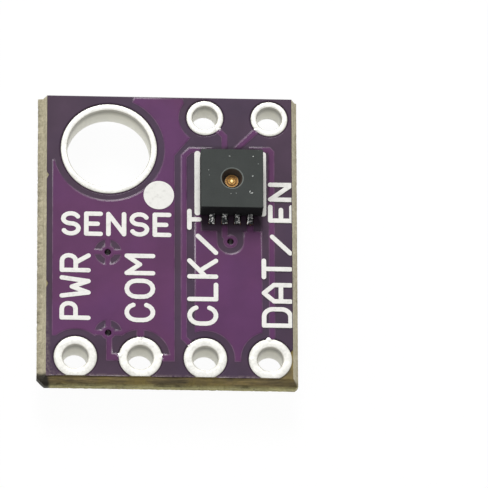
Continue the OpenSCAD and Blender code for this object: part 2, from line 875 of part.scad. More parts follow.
module sensor_outline_bars() color("#e8e8e8") ink()
    for (x = [bar_left_x, bar_right_x]) {
        rect(x - bar_w / 2, bar_low_y + bar_w / 2, x + bar_w / 2, bar_high_y - bar_w / 2);
        disc([x, bar_low_y + bar_w / 2], bar_w);
        disc([x, bar_high_y - bar_w / 2], bar_w);
    }

// The sensor's metal parts, which the moulding is cast round
module lead_blocks() {
    for (x = lead_xs) {
        translate([x - lead_w / 2, lead_near, sensor_z0]) cube([lead_w, lead_l, lead_t]);
        translate([x - lead_w / 2, lead_far - lead_l, sensor_z0]) cube([lead_w, lead_l, lead_t]);
    }
}

module centre_pad_block() {
    translate([sensor_x - centre_pad_w / 2, sensor_y - centre_pad_l / 2, sensor_z0])
        cube([centre_pad_w, centre_pad_l, lead_t]);
}

module die_block() {
    translate([sensor_x - die_w / 2, sensor_y - die_l / 2, sensor_z0 + lead_t])
        cube([die_w, die_l, cavity_z - sensor_z0 - lead_t]);
}

module cavity() {
    r = cavity_d / 2;
    translate([sensor_x, sensor_y, 0]) rotate_extrude() polygon([
        [0, cavity_z],
        [r - cavity_lean, cavity_z],
        [r, sensor_z1 - cavity_bevel],
        [r + cavity_bevel, sensor_z1],
        [r + cavity_bevel, sensor_z1 + over],
        [0, sensor_z1 + over]
    ]);
}

module sensor_body() color("#484b4a") difference() {
    translate([sensor_x - sensor_w / 2, sensor_y - sensor_w / 2, sensor_z0])
        cube([sensor_w, sensor_w, sensor_h]);
    cavity();
    lead_blocks();
    centre_pad_block();
    die_block();
}

module sensor_die() color("#3a2e28") die_block();

// The film over the die's middle, with a raised rim, one raised ring and a raised centre
module sensing_film() color("#b98a3c") {
    r = film_d / 2;
    base = film_t / 3;
    translate([sensor_x, sensor_y, cavity_z]) rotate_extrude() polygon([
        [0, 0],
        [r, 0],
        [r, film_t],
        [0.86 * r, film_t],
        [0.86 * r, base],
        [0.62 * r, base],
        [0.62 * r, film_t],
        [0.48 * r, film_t],
        [0.48 * r, base],
        [0.26 * r, base],
        [0.26 * r, film_t],
        [0, film_t]
    ]);
}

module sensor_leads() color("#d8d8d0") lead_blocks();
module sensor_centre_pad() color("#d8d8d0") centre_pad_block();

// A soldered end: a flat layer inside, and outside it a hollow fillet that climbs the end.
// It is drawn with its outer side towards +Y and its foot on the foil.
module solder_joint(width, layer, inside, reach, climb) {
    toe = 0.02;
    steps = 6;
    fillet = [for (i = [0 : steps])
        let (a = 90 * i / steps) [reach * (1 - sin(a)), toe + (layer + climb - toe) * (1 - cos(a))]];
    rotate([90, 0, 90]) linear_extrude(width, center = true)
        polygon(concat(
            [[-inside, 0], [reach, 0]],
            fillet,
            [[0, layer], [-inside, layer]]
        ));
}

module sensor_solder() color("#dcdcd4") {
    foil_top = core_z1 + copper_t;
    layer = sensor_z0 - foil_top;
    climb = 0.85 * lead_t;
    for (x = lead_xs) {
        translate([x, lead_far, foil_top]) solder_joint(lead_w, layer, lead_l, pad_reach, climb);
        translate([x, lead_near, foil_top]) mirror([0, 1, 0])
            solder_joint(lead_w, layer, lead_l, pad_reach, climb);
    }
    translate([sensor_x - centre_pad_w / 2, sensor_y - centre_pad_l / 2, foil_top])
        cube([centre_pad_w, centre_pad_l, layer]);
}

// Chips on the back, each lying along Y. A resistor is a ceramic slab with a glass coat on its
// outer face between two metal caps, and the capacitor a ceramic block between two caps.
module block(at, z1, w, l, h) {
    translate([at[0] - w / 2, at[1] - l / 2, z1 - h]) cube([w, l, h]);
}

module chip_body(at, l, w, h) {
    block(at, core_z0 - chip_seat - cap_wall, w - 2 * cap_wall, l - 2 * cap_wall, h - 2 * cap_wall);
}

module chip_caps(at, l, w, h) {
    top = core_z0 - chip_seat;
    difference() {
        block(at, top, w, l, h);
        chip_body(at, l, w, h);
        block(at, top + over, w + 2 * over, l * (1 - 2 * cap_share), h + 2 * over);
    }
}

module chip_coat(at, l, w, h) {
    low = core_z0 - chip_seat - h + cap_wall;
    block(at, low, w - 4 * cap_wall, l * (1 - 2 * cap_share), 0.7 * cap_wall);
}

module clock_resistor_body() color("#e9e6dc") chip_body(clock_chip, resistor_l, resistor_w, resistor_h);
module clock_resistor_coat() color("#1e1e20") chip_coat(clock_chip, resistor_l, resistor_w, resistor_h);
module clock_resistor_caps() color("#d8d8d0") chip_caps(clock_chip, resistor_l, resistor_w, resistor_h);
module data_resistor_body() color("#e9e6dc") chip_body(data_chip, resistor_l, resistor_w, resistor_h);
module data_resistor_coat() color("#1e1e20") chip_coat(data_chip, resistor_l, resistor_w, resistor_h);
module data_resistor_caps() color("#d8d8d0") chip_caps(data_chip, resistor_l, resistor_w, resistor_h);
module address_resistor_body() color("#e9e6dc")
    chip_body(address_chip, resistor_l, resistor_w, resistor_h);
module address_resistor_coat() color("#1e1e20")
    chip_coat(address_chip, resistor_l, resistor_w, resistor_h);
module address_resistor_caps() color("#d8d8d0")
    chip_caps(address_chip, resistor_l, resistor_w, resistor_h);
module capacitor_body() color("#b39a78") chip_body(capacitor_at, capacitor_l, capacitor_w, capacitor_h);
module capacitor_caps() color("#d8d8d0") chip_caps(capacitor_at, capacitor_l, capacitor_w, capacitor_h);

module chip_joints(at, l, w, h) {
    for (side = [-1, 1])
        translate([at[0], at[1] + side * l / 2, core_z0 - copper_t])
            mirror([0, 0, 1]) mirror([0, side < 0 ? 1 : 0, 0])
                solder_joint(w, chip_seat - copper_t, cap_share * l, 0.8 * chip_pad_out, 0.6 * h);
}

module chip_solder() color("#dcdcd4") {
    for (at = [clock_chip, data_chip, address_chip])
        chip_joints(at, resistor_l, resistor_w, resistor_h);
    chip_joints(capacitor_at, capacitor_l, capacitor_w, capacitor_h);
}

// Everything is drawn about the layout centre and moved to the middle of the footprint
module placed() {
    translate([-centre_x, -centre_y, 0]) children();
}

placed() woven_laminate();
placed() front_mask();
placed() back_mask();
placed() front_ground_copper();
placed() sensor_ground_copper();
placed() clock_trace();
placed() data_trace();
placed() alert_trace();
placed() address_trace();
placed() reset_trace();
placed() supply_trace();
placed() back_ground_copper();
placed() back_supply_rail();
placed() back_clock_link();
placed() back_data_link();
placed() back_address_link();
placed() supply_terminal();
placed() ground_terminal();
placed() clock_terminal();
placed() data_terminal();
placed() alert_terminal();
placed() address_terminal();
placed() mounting_hole_lining();
placed() ground_via_upper();
placed() ground_via_lower();
placed() reset_via();
placed() supply_via();
placed() sensor_pad_via();
placed() orientation_dot();
placed() sensor_outline_bars();
placed() sensor_body();
placed() sensor_die();
placed() sensing_film();
placed() sensor_leads();
placed() sensor_centre_pad();
placed() sensor_solder();
placed() clock_resistor_body();
placed() clock_resistor_coat();
placed() clock_resistor_caps();
placed() data_resistor_body();
placed() data_resistor_coat();
placed() data_resistor_caps();
placed() address_resistor_body();
placed() address_resistor_coat();
placed() address_resistor_caps();
placed() capacitor_body();
placed() capacitor_caps();
placed() chip_solder();
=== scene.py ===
import json
import math
import random

import bmesh
import bpy
from bpy.props import FloatProperty, FloatVectorProperty, IntProperty, PointerProperty
from bpy.types import Operator, Panel, PropertyGroup
from mathutils import Matrix, Vector, noise
from mathutils.bvhtree import BVHTree
from mathutils.geometry import delaunay_2d_cdt


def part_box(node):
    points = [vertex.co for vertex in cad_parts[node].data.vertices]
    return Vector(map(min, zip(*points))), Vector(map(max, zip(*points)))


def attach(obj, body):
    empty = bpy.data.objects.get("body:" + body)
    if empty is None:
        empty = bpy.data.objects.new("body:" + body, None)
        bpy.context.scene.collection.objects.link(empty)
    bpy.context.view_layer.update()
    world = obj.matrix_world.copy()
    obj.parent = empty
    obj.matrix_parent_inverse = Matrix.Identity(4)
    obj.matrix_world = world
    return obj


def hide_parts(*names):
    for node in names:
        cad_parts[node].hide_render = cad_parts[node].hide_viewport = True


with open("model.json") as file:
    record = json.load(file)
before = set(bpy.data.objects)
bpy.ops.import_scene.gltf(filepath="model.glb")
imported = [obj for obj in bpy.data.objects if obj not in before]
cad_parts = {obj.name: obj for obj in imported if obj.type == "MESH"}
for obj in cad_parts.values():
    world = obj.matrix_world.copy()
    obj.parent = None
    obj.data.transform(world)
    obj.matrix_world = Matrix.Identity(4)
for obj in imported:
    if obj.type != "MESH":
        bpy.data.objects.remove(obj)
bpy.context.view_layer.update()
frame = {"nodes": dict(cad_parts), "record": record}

bl_info = {
    "name": "Sensor board",
    "version": (1, 0, 0),
    "blender": (4, 5, 0),
    "location": "View3D > Sidebar > Sensor board",
    "description": "Dresses a small humidity and temperature sensor board and sets its stage",
    "category": "Object",
}

MM = 0.001
NODES = frame["nodes"]


def box_mm(node):
    """A CAD node's lowest and highest corner in millimetres."""
    low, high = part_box(node)
    return low / MM, high / MM


def middle_mm(node):
    low, high = box_mm(node)
    return (low + high) / 2


# Places read from the CAD, in millimetres
FACE_LOW, FACE_HIGH = box_mm("back_mask")
LAMINATE_LOW, LAMINATE_HIGH = box_mm("woven_laminate")
LEFT, FRONT = FACE_LOW.x, FACE_LOW.y
RIGHT, BACK = FACE_HIGH.x, FACE_HIGH.y
BOARD_BOTTOM, BOARD_TOP = LAMINATE_LOW.z, LAMINATE_HIGH.z
MASK_TOP = box_mm("front_mask")[1].z
INK_TOP = box_mm("orientation_dot")[1].z
FOIL_TOP = box_mm("clock_trace")[1].z
SENSOR_LOW, SENSOR_HIGH = box_mm("sensor_body")
SENSOR_MIDDLE = (SENSOR_LOW + SENSOR_HIGH) / 2
ROW = [middle_mm(name + "_terminal") for name in ("supply", "ground", "clock", "data")]


def screen(red, green, blue):
    """A colour given as it shows on a screen, 0 to 255, in the linear form that shaders take."""
    parts = [c / 255 for c in (red, green, blue)]
    return tuple(c / 12.92 if c <= 0.04045 else ((c + 0.055) / 1.055) ** 2.4 for c in parts)


def smooth(x):
    """A soft step from 0 to 1."""
    x = min(max(x, 0.0), 1.0)
    return x * x * (3 - 2 * x)


def length_mm(name, text, default, least, most):
    """A length property, kept in metres and given in millimetres."""
    return FloatProperty(name=name, description=text, default=default * MM, min=least * MM,
                         max=most * MM, precision=6, subtype="DISTANCE", unit="LENGTH")


def colour(name, text, red, green, blue):
    return FloatVectorProperty(name=name, description=text, default=screen(red, green, blue),
                               size=3, min=0.0, max=1.0, subtype="COLOR")


# Sizes and colours that can be changed

class TornEdgeSizes(PropertyGroup):
    tooth: length_mm("Tooth", "How deep the torn web is broken", 0.045, 0.0, 0.1)
    wander: length_mm("Wander", "How far the groove's foot wanders up and down", 0.04, 0.0, 0.1)
    pitch: length_mm("Pitch", "Distance between modelled points along the edge", 0.04, 0.02, 0.2)


class CoatSizes(PropertyGroup):
    slope: length_mm("Slope", "Half width of the slope at a copper edge", 0.045, 0.01, 0.1)
    lip: length_mm("Lip", "Width of the rounding at an opening", 0.03, 0.005, 0.06)


class TinSizes(PropertyGroup):
    edge: length_mm("Edge", "Rounding of the tin at a bore and at a ring's rim", 0.015, 0.005, 0.1)
    ripple: length_mm("Ripple", "Height of the unevenness in the tin", 0.006, 0.0, 0.03)
    steps: IntProperty(name="Steps", description="Points round a ring", default=128, min=24, max=256)


class LetteringSizes(PropertyGroup):
    stroke: length_mm("Stroke", "Width of a letter's stroke", 0.182, 0.1, 0.3)
    thickness: length_mm("Thickness", "How far the ink stands above the mask", 0.018, 0.005, 0.03)


class SensorSizes(PropertyGroup):
    edge: length_mm("Edge", "Rounding of the package's edges", 0.018, 0.0, 0.05)
    mouth: length_mm("Mouth", "Radius of the cavity at the top", 0.415, 0.3, 0.6)
    lean: length_mm("Lean", "How far the cavity's wall leans in", 0.08, 0.0, 0.15)
    bevel: length_mm("Bevel", "Width of the bevel at the cavity's mouth", 0.03, 0.0, 0.06)


class BoardColours(PropertyGroup):
    mask_dark: colour("Mask on laminate", "Solder mask where it lies on laminate", 67, 49, 67)
    mask_plum: colour("Mask on copper", "Solder mask where it lies on copper", 90, 47, 87)
    # Partly the paler thin mask along copper edges, partly a painted highlight on those edges.
    mask_edge_and_highlight: colour("Mask on copper edges", "Thin solder mask along copper edges", 158, 126, 152)
    tin: colour("Tin", "Tinned rings and leads", 233, 232, 226)
    ink: colour("Ink", "White ink", 228, 227, 222)
    moulding: colour("Moulding", "The sensor's mould compound", 50, 53, 52)
    groove: colour("Groove", "Scored laminate", 114, 98, 62)
    torn: colour("Torn web", "Broken laminate", 174, 168, 118)
    # The long sides' paler colour is painted light.
    side: colour("Side", "The paler laminate of the two long sides", 194, 186, 159)


GROUPS = {
    "torn_edge": TornEdgeSizes,
    "coat": CoatSizes,
    "tin": TinSizes,
    "lettering": LetteringSizes,
    "sensor": SensorSizes,
    "colours": BoardColours,
}


RINGS = ("supply_terminal", "ground_terminal", "clock_terminal", "data_terminal",
         "alert_terminal", "address_terminal", "mounting_hole_lining")


def bore_of(node):
    """The middle and the radius of a plated hole, from the mount that the CAD names for it."""
    name = node.replace("_lining", "").replace("_terminal", "_hole")
    mount = next(m for m in frame["record"]["mounts"] if m["name"] == name)
    return Vector(mount["pos_m"][:2]) / MM, mount["dims"]["r_mm"]


def ring_radius(node):
    """The outer radius of a plated hole's ring, which the board's edge may cut off."""
    centre, _ = bore_of(node)
    return max((v.co.xy / MM - centre).length for v in NODES[node].data.vertices)


# Materials

class Finish:
    """A procedural material under construction, with its textures measured in millimetres."""

    def __init__(self, name, **shader):
        self.material = bpy.data.materials.new(name)
        self.material.use_nodes = True
        self.tree = self.material.node_tree
        self.shader = self.tree.nodes["Principled BSDF"]
        for socket, value in shader.items():
            self.set(self.shader, socket.replace("_", " "), value)
        place = self.tree.nodes.new("ShaderNodeTexCoord")
        scale = self.tree.nodes.new("ShaderNodeMapping")
        scale.inputs["Scale"].default_value = (1 / MM,) * 3
        self.join(place.outputs["Object"], scale.inputs["Vector"])
        self.place = scale.outputs["Vector"]

    def set(self, node, socket, value):
        if len(getattr(node.inputs[socket], "default_value", ())
               if hasattr(node.inputs[socket].default_value, "__len__") else ()) == 4:
            value = (*value, 1.0)
        node.inputs[socket].default_value = value

    def join(self, source, target):
        self.tree.links.new(source, target)

    def put(self, source, socket):
        """Feeds a shader socket that varies over the surface."""
        self.join(source, self.shader.inputs[socket])

    def moved(self, scale=(1, 1, 1), shift=(0, 0, 0)):
        node = self.tree.nodes.new("ShaderNodeMapping")
        node.inputs["Scale"].default_value = scale
        node.inputs["Location"].default_value = shift
        self.join(self.place, node.inputs["Vector"])
        return node.outputs["Vector"]

    def noise(self, scale, detail=3.0, rough=0.5, at=None, distortion=0.0):
        node = self.tree.nodes.new("ShaderNodeTexNoise")
        node.inputs["Scale"].default_value = scale
        node.inputs["Detail"].default_value = detail
        node.inputs["Roughness"].default_value = rough
        node.inputs["Distortion"].default_value = distortion
        self.join(at or self.place, node.inputs["Vector"])
        return node.outputs["Fac"]

    def cells(self, scale, at=None):
        node = self.tree.nodes.new("ShaderNodeTexVoronoi")
        node.inputs["Scale"].default_value = scale
        self.join(at or self.place, node.inputs["Vector"])
        return node.outputs["Distance"]

    def waves(self, scale, distortion, direction="X", at=None):
        node = self.tree.nodes.new("ShaderNodeTexWave")
        node.bands_direction = direction
        node.inputs["Scale"].default_value = scale
        node.inputs["Distortion"].default_value = distortion
        self.join(at or self.place, node.inputs["Vector"])
        return node.outputs["Fac"]

    def axis(self, name):
        node = self.tree.nodes.new("ShaderNodeSeparateXYZ")
        self.join(self.place, node.inputs["Vector"])
        return node.outputs[name]

    def mark(self, name):
        """A number stored on the mesh's points."""
        node = self.tree.nodes.new("ShaderNodeAttribute")
        node.attribute_name = name
        return node.outputs["Fac"]

    def math(self, operation, first, second=0.0, clamp=False):
        node = self.tree.nodes.new("ShaderNodeMath")
        node.operation = operation
        node.use_clamp = clamp
        for socket, value in zip(node.inputs, (first, second)):
            if isinstance(value, (int, float)):
                socket.default_value = value
            else:
                self.join(value, socket)
        return node.outputs["Value"]

    def spread(self, source, low, high, out_low=0.0, out_high=1.0):
        """Maps low..high to out_low..out_high, clamped."""
        node = self.tree.nodes.new("ShaderNodeMapRange")
        for socket, value in zip(("From Min", "From Max", "To Min", "To Max"),
                                 (low, high, out_low, out_high)):
            node.inputs[socket].default_value = value
        self.join(source, node.inputs["Value"])
        return node.outputs["Result"]

    def ramp(self, source, *stops):
        node = self.tree.nodes.new("ShaderNodeValToRGB")
        band = node.color_ramp
        while len(band.elements) < len(stops):
            band.elements.new(0.5)
        for element, (at, shade) in zip(band.elements, stops):
            element.position = at
            element.color = (*shade, 1.0)
        self.join(source, node.inputs["Fac"])
        return node.outputs["Color"]

    def mix(self, share, first, second, blend="MIX"):
        node = self.tree.nodes.new("ShaderNodeMix")
        node.data_type = "RGBA"
        node.blend_type = blend
        for socket, value in ((node.inputs["Factor"], share), (node.inputs["A"], first),
                              (node.inputs["B"], second)):
            pass
        sockets = [s for s in node.inputs if s.enabled]
        for socket, value in zip(sockets, (share, first, second)):
            if isinstance(value, (int, float)):
                socket.default_value = value
            elif isinstance(value, (tuple, list)) or hasattr(value, "r"):
                socket.default_value = (*tuple(value)[:3], 1.0)
            else:
                self.join(value, socket)
        return [s for s in node.outputs if s.enabled][0]

    def bump(self, height, depth_mm, strength=1.0):
        """Raises the surface by up to depth_mm where height is 1."""
        node = self.tree.nodes.new("ShaderNodeBump")
        node.inputs["Strength"].default_value = strength
        node.inputs["Distance"].default_value = depth_mm * MM
        self.join(height, node.inputs["Height"])
        self.join(node.outputs["Normal"], self.shader.inputs["Normal"])


def colours():
    return bpy.context.scene.sensor_board_colours


def shade(shade_of, amount):
    """The colour made lighter or darker by a factor."""
    return tuple(min(c * amount, 1.0) for c in tuple(shade_of)[:3])


def laminate_material():
    """Woven glass laminate: brown olive plies at the front, and long sides painted paler as painted
    light.
    """
    c = colours()
    f = Finish("woven laminate", Roughness=0.62, Specular_IOR_Level=0.3)
    torn, side = f.mark("torn"), f.mark("side")
    plies = f.noise(1.0, 5, 0.62, f.moved((1.1, 1.1, 11.0)))
    blotches = f.noise(0.9, 3, 0.5)
    fibres = f.noise(1.0, 6, 0.7, f.moved((12.0, 12.0, 5.0)))
    groove = f.ramp(plies, (0.32, shade(c.groove, 0.30)), (0.48, shade(c.groove, 0.85)),
                    (0.66, shade(c.groove, 1.9)))
    warm = f.mix(f.spread(blotches, 0.46, 0.62, 0.0, 0.7), groove, screen(140, 122, 58))
    web = f.ramp(plies, (0.34, shade(c.torn, 0.42)), (0.46, shade(c.torn, 0.95)),
                 (0.66, shade(c.torn, 1.3)))
    front = f.mix(torn, warm, web)
    # Painted light: the long sides get a paler copy of the laminate than the front.
    flank = f.ramp(plies, (0.32, shade(c.side, 0.72)), (0.50, shade(c.side, 0.98)),
                   (0.68, shade(c.side, 1.15)))
    both = f.mix(side, front, flank)
    grained = f.mix(f.spread(fibres, 0.35, 0.65, 0.45, 0.0), both, screen(96, 86, 60))
    # Painted shadow darkens the broken front left corner.
    f.put(f.mix(f.mark("corner_shadow"), grained, screen(26, 22, 15)), "Base Color")
    f.bump(f.math("ADD", fibres, f.math("MULTIPLY", plies, 0.8)), 0.025)
    return f.material


def sensor_shadow(f):
    """Painted shadow round the sensor's package, on the front only: a share from 0 to 1."""
    x = f.math("ABSOLUTE", f.math("SUBTRACT", f.axis("X"), SENSOR_MIDDLE.x))
    y = f.math("ABSOLUTE", f.math("SUBTRACT", f.axis("Y"), SENSOR_MIDDLE.y))
    half = (SENSOR_HIGH.x - SENSOR_LOW.x) / 2
    waver = f.math("MULTIPLY", f.math("SUBTRACT", f.noise(5.0, 3, 0.6), 0.5), 0.16)
    across = f.spread(f.math("ADD", x, waver), half - 0.10, half + 0.06, 1.0, 0.0)
    along = f.spread(f.math("ADD", y, waver), half + 0.36, half + 0.56, 1.0, 0.0)
    front = f.spread(f.axis("Z"), BOARD_BOTTOM, BOARD_TOP)
    return f.math("MULTIPLY", f.math("MULTIPLY", across, along), f.math("MULTIPLY", front, 0.80))


def mask_material():
    """Glossy violet mask, plum over copper, darker on laminate, pale along copper edges where it thins, a
    line that is also a painted highlight, and with a painted shadow round the sensor.
    """
    c = colours()
    f = Finish("solder mask", Roughness=0.27, Specular_IOR_Level=0.26)
    over_copper = f.mark("over_copper")
    cloud = f.noise(0.8, 3, 0.5)
    grain = f.noise(14.0, 2, 0.5)
    plum = f.mix(f.spread(cloud, 0.35, 0.65), shade(c.mask_plum, 0.92), shade(c.mask_plum, 1.08))
    dark = f.mix(f.spread(cloud, 0.35, 0.65), shade(c.mask_dark, 0.90), shade(c.mask_dark, 1.12))
    base = f.mix(over_copper, dark, plum)
    blue = f.spread(f.noise(0.33, 2, 0.5), 0.46, 0.62, 0.0, 0.2)
    tinted = f.mix(blue, base, (0.80, 0.95, 1.30), "MULTIPLY")
    patchy = f.spread(f.noise(1.9, 3, 0.6), 0.35, 0.60, 0.25, 1.0)
    # Pale line along copper edges: thin mask, and a painted highlight that the edges catch.
    edge_line_and_highlight = f.math("MULTIPLY", f.math("MULTIPLY", f.mark("thin_mask_and_highlight"), patchy), 0.35)
    edged = f.mix(edge_line_and_highlight, tinted, tuple(c.mask_edge_and_highlight))
    worn = f.math("MULTIPLY", f.mark("worn"), f.spread(f.noise(9.0, 4, 0.6), 0.40, 0.58))
    # Painted shadow: the mask is darkened round the sensor's package.
    shadowed = f.mix(sensor_shadow(f), edged, screen(36, 28, 36))
    f.put(f.mix(worn, shadowed, screen(126, 112, 112)), "Base Color")
    f.bump(f.math("ADD", f.math("MULTIPLY", cloud, 0.8), f.math("MULTIPLY", grain, 0.2)), 0.004)
    return f.material


def tin_material(name="tinned metal", dull=0.0):
    """Bright tin, slightly cloudy, with painted shade in the bores: darkest just below their top and
    lighter further down.
    """
    c = colours()
    f = Finish(name, Metallic=0.35, Specular_IOR_Level=0.6)
    cloud = f.noise(1.6, 4, 0.6)
    fine = f.noise(14.0, 3, 0.6)
    mottle = f.math("ADD", f.math("MULTIPLY", cloud, 0.5), f.math("MULTIPLY", fine, 0.5))
    face = f.ramp(mottle, (0.36, shade(c.tin, 0.84 - dull)), (0.58, shade(c.tin, 1.0 - dull)))
    # Painted shade in the bores: dark just below the top, lighter towards the bottom.
    depth = f.spread(f.axis("Z"), BOARD_BOTTOM, BOARD_TOP)
    wall = f.ramp(depth, (0.0, screen(236, 235, 224)), (0.55, screen(212, 210, 196)),
                  (0.90, screen(132, 129, 114)), (1.0, screen(166, 163, 150)))
    f.put(f.mix(f.mark("wall"), face, wall), "Base Color")
    f.put(f.spread(fine, 0.3, 0.7, 0.30, 0.42), "Roughness")
    f.bump(f.math("ADD", cloud, f.math("MULTIPLY", fine, 0.06)), 0.006)
    return f.material


def solder_material(name="solder", low=(46, 48, 49), middle=(92, 94, 94)):
    """Reflowed solder, mirror-like and wrinkled, its colour painted: bright glints along the wrinkles,
    and by default dark between them as painted shade.
    """
    f = Finish(name, Metallic=1.0)
    wrinkle = f.noise(10.0, 4, 0.65, distortion=0.6)
    # Painted reflection: bright glints along the wrinkles, between the given darker tones.
    f.put(f.ramp(wrinkle, (0.44, screen(*low)), (0.53, screen(*middle)),
                 (0.61, screen(240, 240, 235))), "Base Color")
    f.put(f.spread(wrinkle, 0.3, 0.7, 0.12, 0.30), "Roughness")
    f.bump(wrinkle, 0.02)
    return f.material


def copper_material():
    """Etched copper foil, dulled to brown under the mask and tinned where the mask leaves it open."""
    f = Finish("copper foil", Metallic=0.8)
    stain = f.noise(3.0, 4, 0.6)
    bare = f.ramp(stain, (0.35, screen(120, 74, 60)), (0.65, screen(186, 126, 92)))
    beyond = f.spread(f.axis("Z"), BOARD_BOTTOM, BOARD_TOP)
    for node in RINGS:
        centre, _ = bore_of(node)
        x = f.math("SUBTRACT", f.axis("X"), centre.x)
        y = f.math("SUBTRACT", f.axis("Y"), centre.y)
        away = f.math("SQRT", f.math("ADD", f.math("MULTIPLY", x, x), f.math("MULTIPLY", y, y)))
        past = f.spread(away, ring_radius(node) + 0.14, ring_radius(node) + 0.16)
        beyond = f.math("MULTIPLY", beyond, past)
    f.put(f.mix(beyond, tuple(colours().tin), bare), "Base Color")
    f.put(f.spread(stain, 0.3, 0.7, 0.35, 0.5), "Roughness")
    f.bump(f.noise(30.0, 2, 0.5), 0.003)
    return f.material


def via_material():
    """The dark plated bore of a via under its mask."""
    f = Finish("via copper", Metallic=0.4)
    stain = f.noise(8.0, 3, 0.6)
    f.put(f.ramp(stain, (0.35, screen(40, 22, 36)), (0.70, screen(96, 58, 74))), "Base Color")
    f.put(f.spread(stain, 0.3, 0.7, 0.35, 0.5), "Roughness")
    return f.material


def ink_material():
    """Screen-printed white ink with a faint mottle and a soft edge."""
    c = colours()
    f = Finish("white ink", Roughness=0.55, Specular_IOR_Level=0.35)
    mottle = f.noise(6.0, 5, 0.6)
    f.put(f.ramp(mottle, (0.28, shade(c.ink, 0.82)), (0.46, shade(c.ink, 0.98)),
                 (0.80, shade(c.ink, 1.03))), "Base Color")
    f.bump(f.noise(18.0, 3, 0.6), 0.006)
    return f.material


def moulding_material():
    """Grey-green mould compound: a fine matt grain on top, and sides painted darker than the top as
    painted shade.
    """
    c = colours()
    f = Finish("mould compound", Specular_IOR_Level=0.15)
    grain = f.noise(40.0, 4, 0.7)
    cloud = f.noise(1.6, 3, 0.5)
    flecks = f.spread(f.cells(7.0), 0.0, 0.05, 1.0, 0.0)
    rare = f.spread(f.noise(3.1, 2, 0.5), 0.62, 0.66)
    top = f.mix(f.spread(cloud, 0.3, 0.7), shade(c.moulding, 0.90), shade(c.moulding, 1.10))
    grainy = f.mix(f.spread(grain, 0.35, 0.75, 0.0, 0.35), top, screen(92, 98, 94))
    sides = f.spread(f.axis("Z"), SENSOR_HIGH.z - 0.04, SENSOR_HIGH.z - 0.01)
    x = f.math("SUBTRACT", f.axis("X"), SENSOR_MIDDLE.x)
    y = f.math("SUBTRACT", f.axis("Y"), SENSOR_MIDDLE.y)
    away = f.math("SQRT", f.math("ADD", f.math("MULTIPLY", x, x), f.math("MULTIPLY", y, y)))
    sizes = bpy.context.scene.sensor_board_sensor
    mouth = sizes.mouth / MM
    inside = f.spread(away, mouth + 0.01, mouth + 0.03, 1.0, 0.0)
    # Painted shade: the outer sides get a near-black colour, the cavity's wall a brown one.
    flank = f.mix(inside, screen(32, 33, 34), screen(74, 64, 56))
    body = f.mix(sides, flank, grainy)
    # Painted highlight: a paler ring on the bevel at the cavity's mouth.
    rim = f.math("MULTIPLY", f.spread(away, mouth - 0.02, mouth - 0.005),
                 f.spread(away, mouth + sizes.bevel / MM, mouth + sizes.bevel / MM + 0.01, 1.0, 0.0))
    bevel_highlight = f.math("MULTIPLY", rim, f.spread(f.axis("Z"), SENSOR_HIGH.z - 0.06, SENSOR_HIGH.z - 0.03))
    highlighted = f.mix(f.math("MULTIPLY", bevel_highlight, 0.8), body, screen(122, 128, 124))
    f.put(f.mix(f.math("MULTIPLY", flecks, rare), highlighted, screen(150, 155, 150)), "Base Color")
    f.put(f.spread(grain, 0.3, 0.7, 0.5, 0.7), "Roughness")
    f.bump(grain, 0.008)
    return f.material


def dust_material():
    """Pale specks of dust."""
    f = Finish("dust", Roughness=0.8, Specular_IOR_Level=0.2)
    f.put(f.ramp(f.noise(20.0, 2, 0.5), (0.3, screen(150, 155, 152)),
                 (0.7, screen(232, 234, 230))), "Base Color")
    return f.material


def silicon_material():
    """Polished silicon, almost black."""
    f = Finish("silicon", Metallic=0.3)
    tone = f.noise(3.0, 3, 0.5)
    f.put(f.ramp(tone, (0.3, screen(16, 13, 12)), (0.7, screen(38, 30, 26))), "Base Color")
    f.put(f.spread(tone, 0.3, 0.7, 0.18, 0.3), "Roughness")
    return f.material


def film_material():
    """Gold film with concentric rings: light rim, brown band, light ring, olive, bright middle."""
    middle = middle_mm("sensing_film")
    f = Finish("sensing film", Metallic=0.55)
    x = f.math("SUBTRACT", f.axis("X"), middle.x)
    y = f.math("SUBTRACT", f.axis("Y"), middle.y)
    radius = f.math("SQRT", f.math("ADD", f.math("MULTIPLY", x, x), f.math("MULTIPLY", y, y)))
    waver = f.math("MULTIPLY", f.math("SUBTRACT", f.noise(9.0, 3, 0.6), 0.5), 0.03)
    ring = f.spread(f.math("ADD", radius, waver), 0.0, 0.27)
    f.put(f.ramp(ring, (0.0, screen(255, 238, 186)), (0.20, screen(228, 184, 104)),
                 (0.30, screen(84, 60, 22)), (0.46, screen(190, 142, 68)),
                 (0.60, screen(88, 58, 20)), (0.82, screen(150, 106, 48)),
                 (0.92, screen(176, 138, 84)), (1.0, screen(30, 24, 20))), "Base Color")
    f.put(f.spread(f.noise(12.0, 2, 0.5), 0.3, 0.7, 0.25, 0.4), "Roughness")
    f.bump(f.noise(30.0, 3, 0.6), 0.004)
    return f.material


def ceramic_material(name, pale, deep):
    """Fired ceramic with a fine grain."""
    f = Finish(name, Roughness=0.55)
    grain = f.noise(16.0, 4, 0.6)
    f.put(f.ramp(grain, (0.3, deep), (0.7, pale)), "Base Color")
    f.bump(grain, 0.006)
    return f.material


def glass_coat_material():
    """The black glass over a resistor's track."""
    f = Finish("resistor glass", Specular_IOR_Level=0.5)
    tone = f.noise(7.0, 3, 0.5)
    f.put(f.ramp(tone, (0.3, screen(18, 18, 20)), (0.7, screen(34, 34, 37))), "Base Color")
    f.put(f.spread(tone, 0.3, 0.7, 0.18, 0.32), "Roughness")
    f.bump(tone, 0.006)
    return f.material


# Mesh building

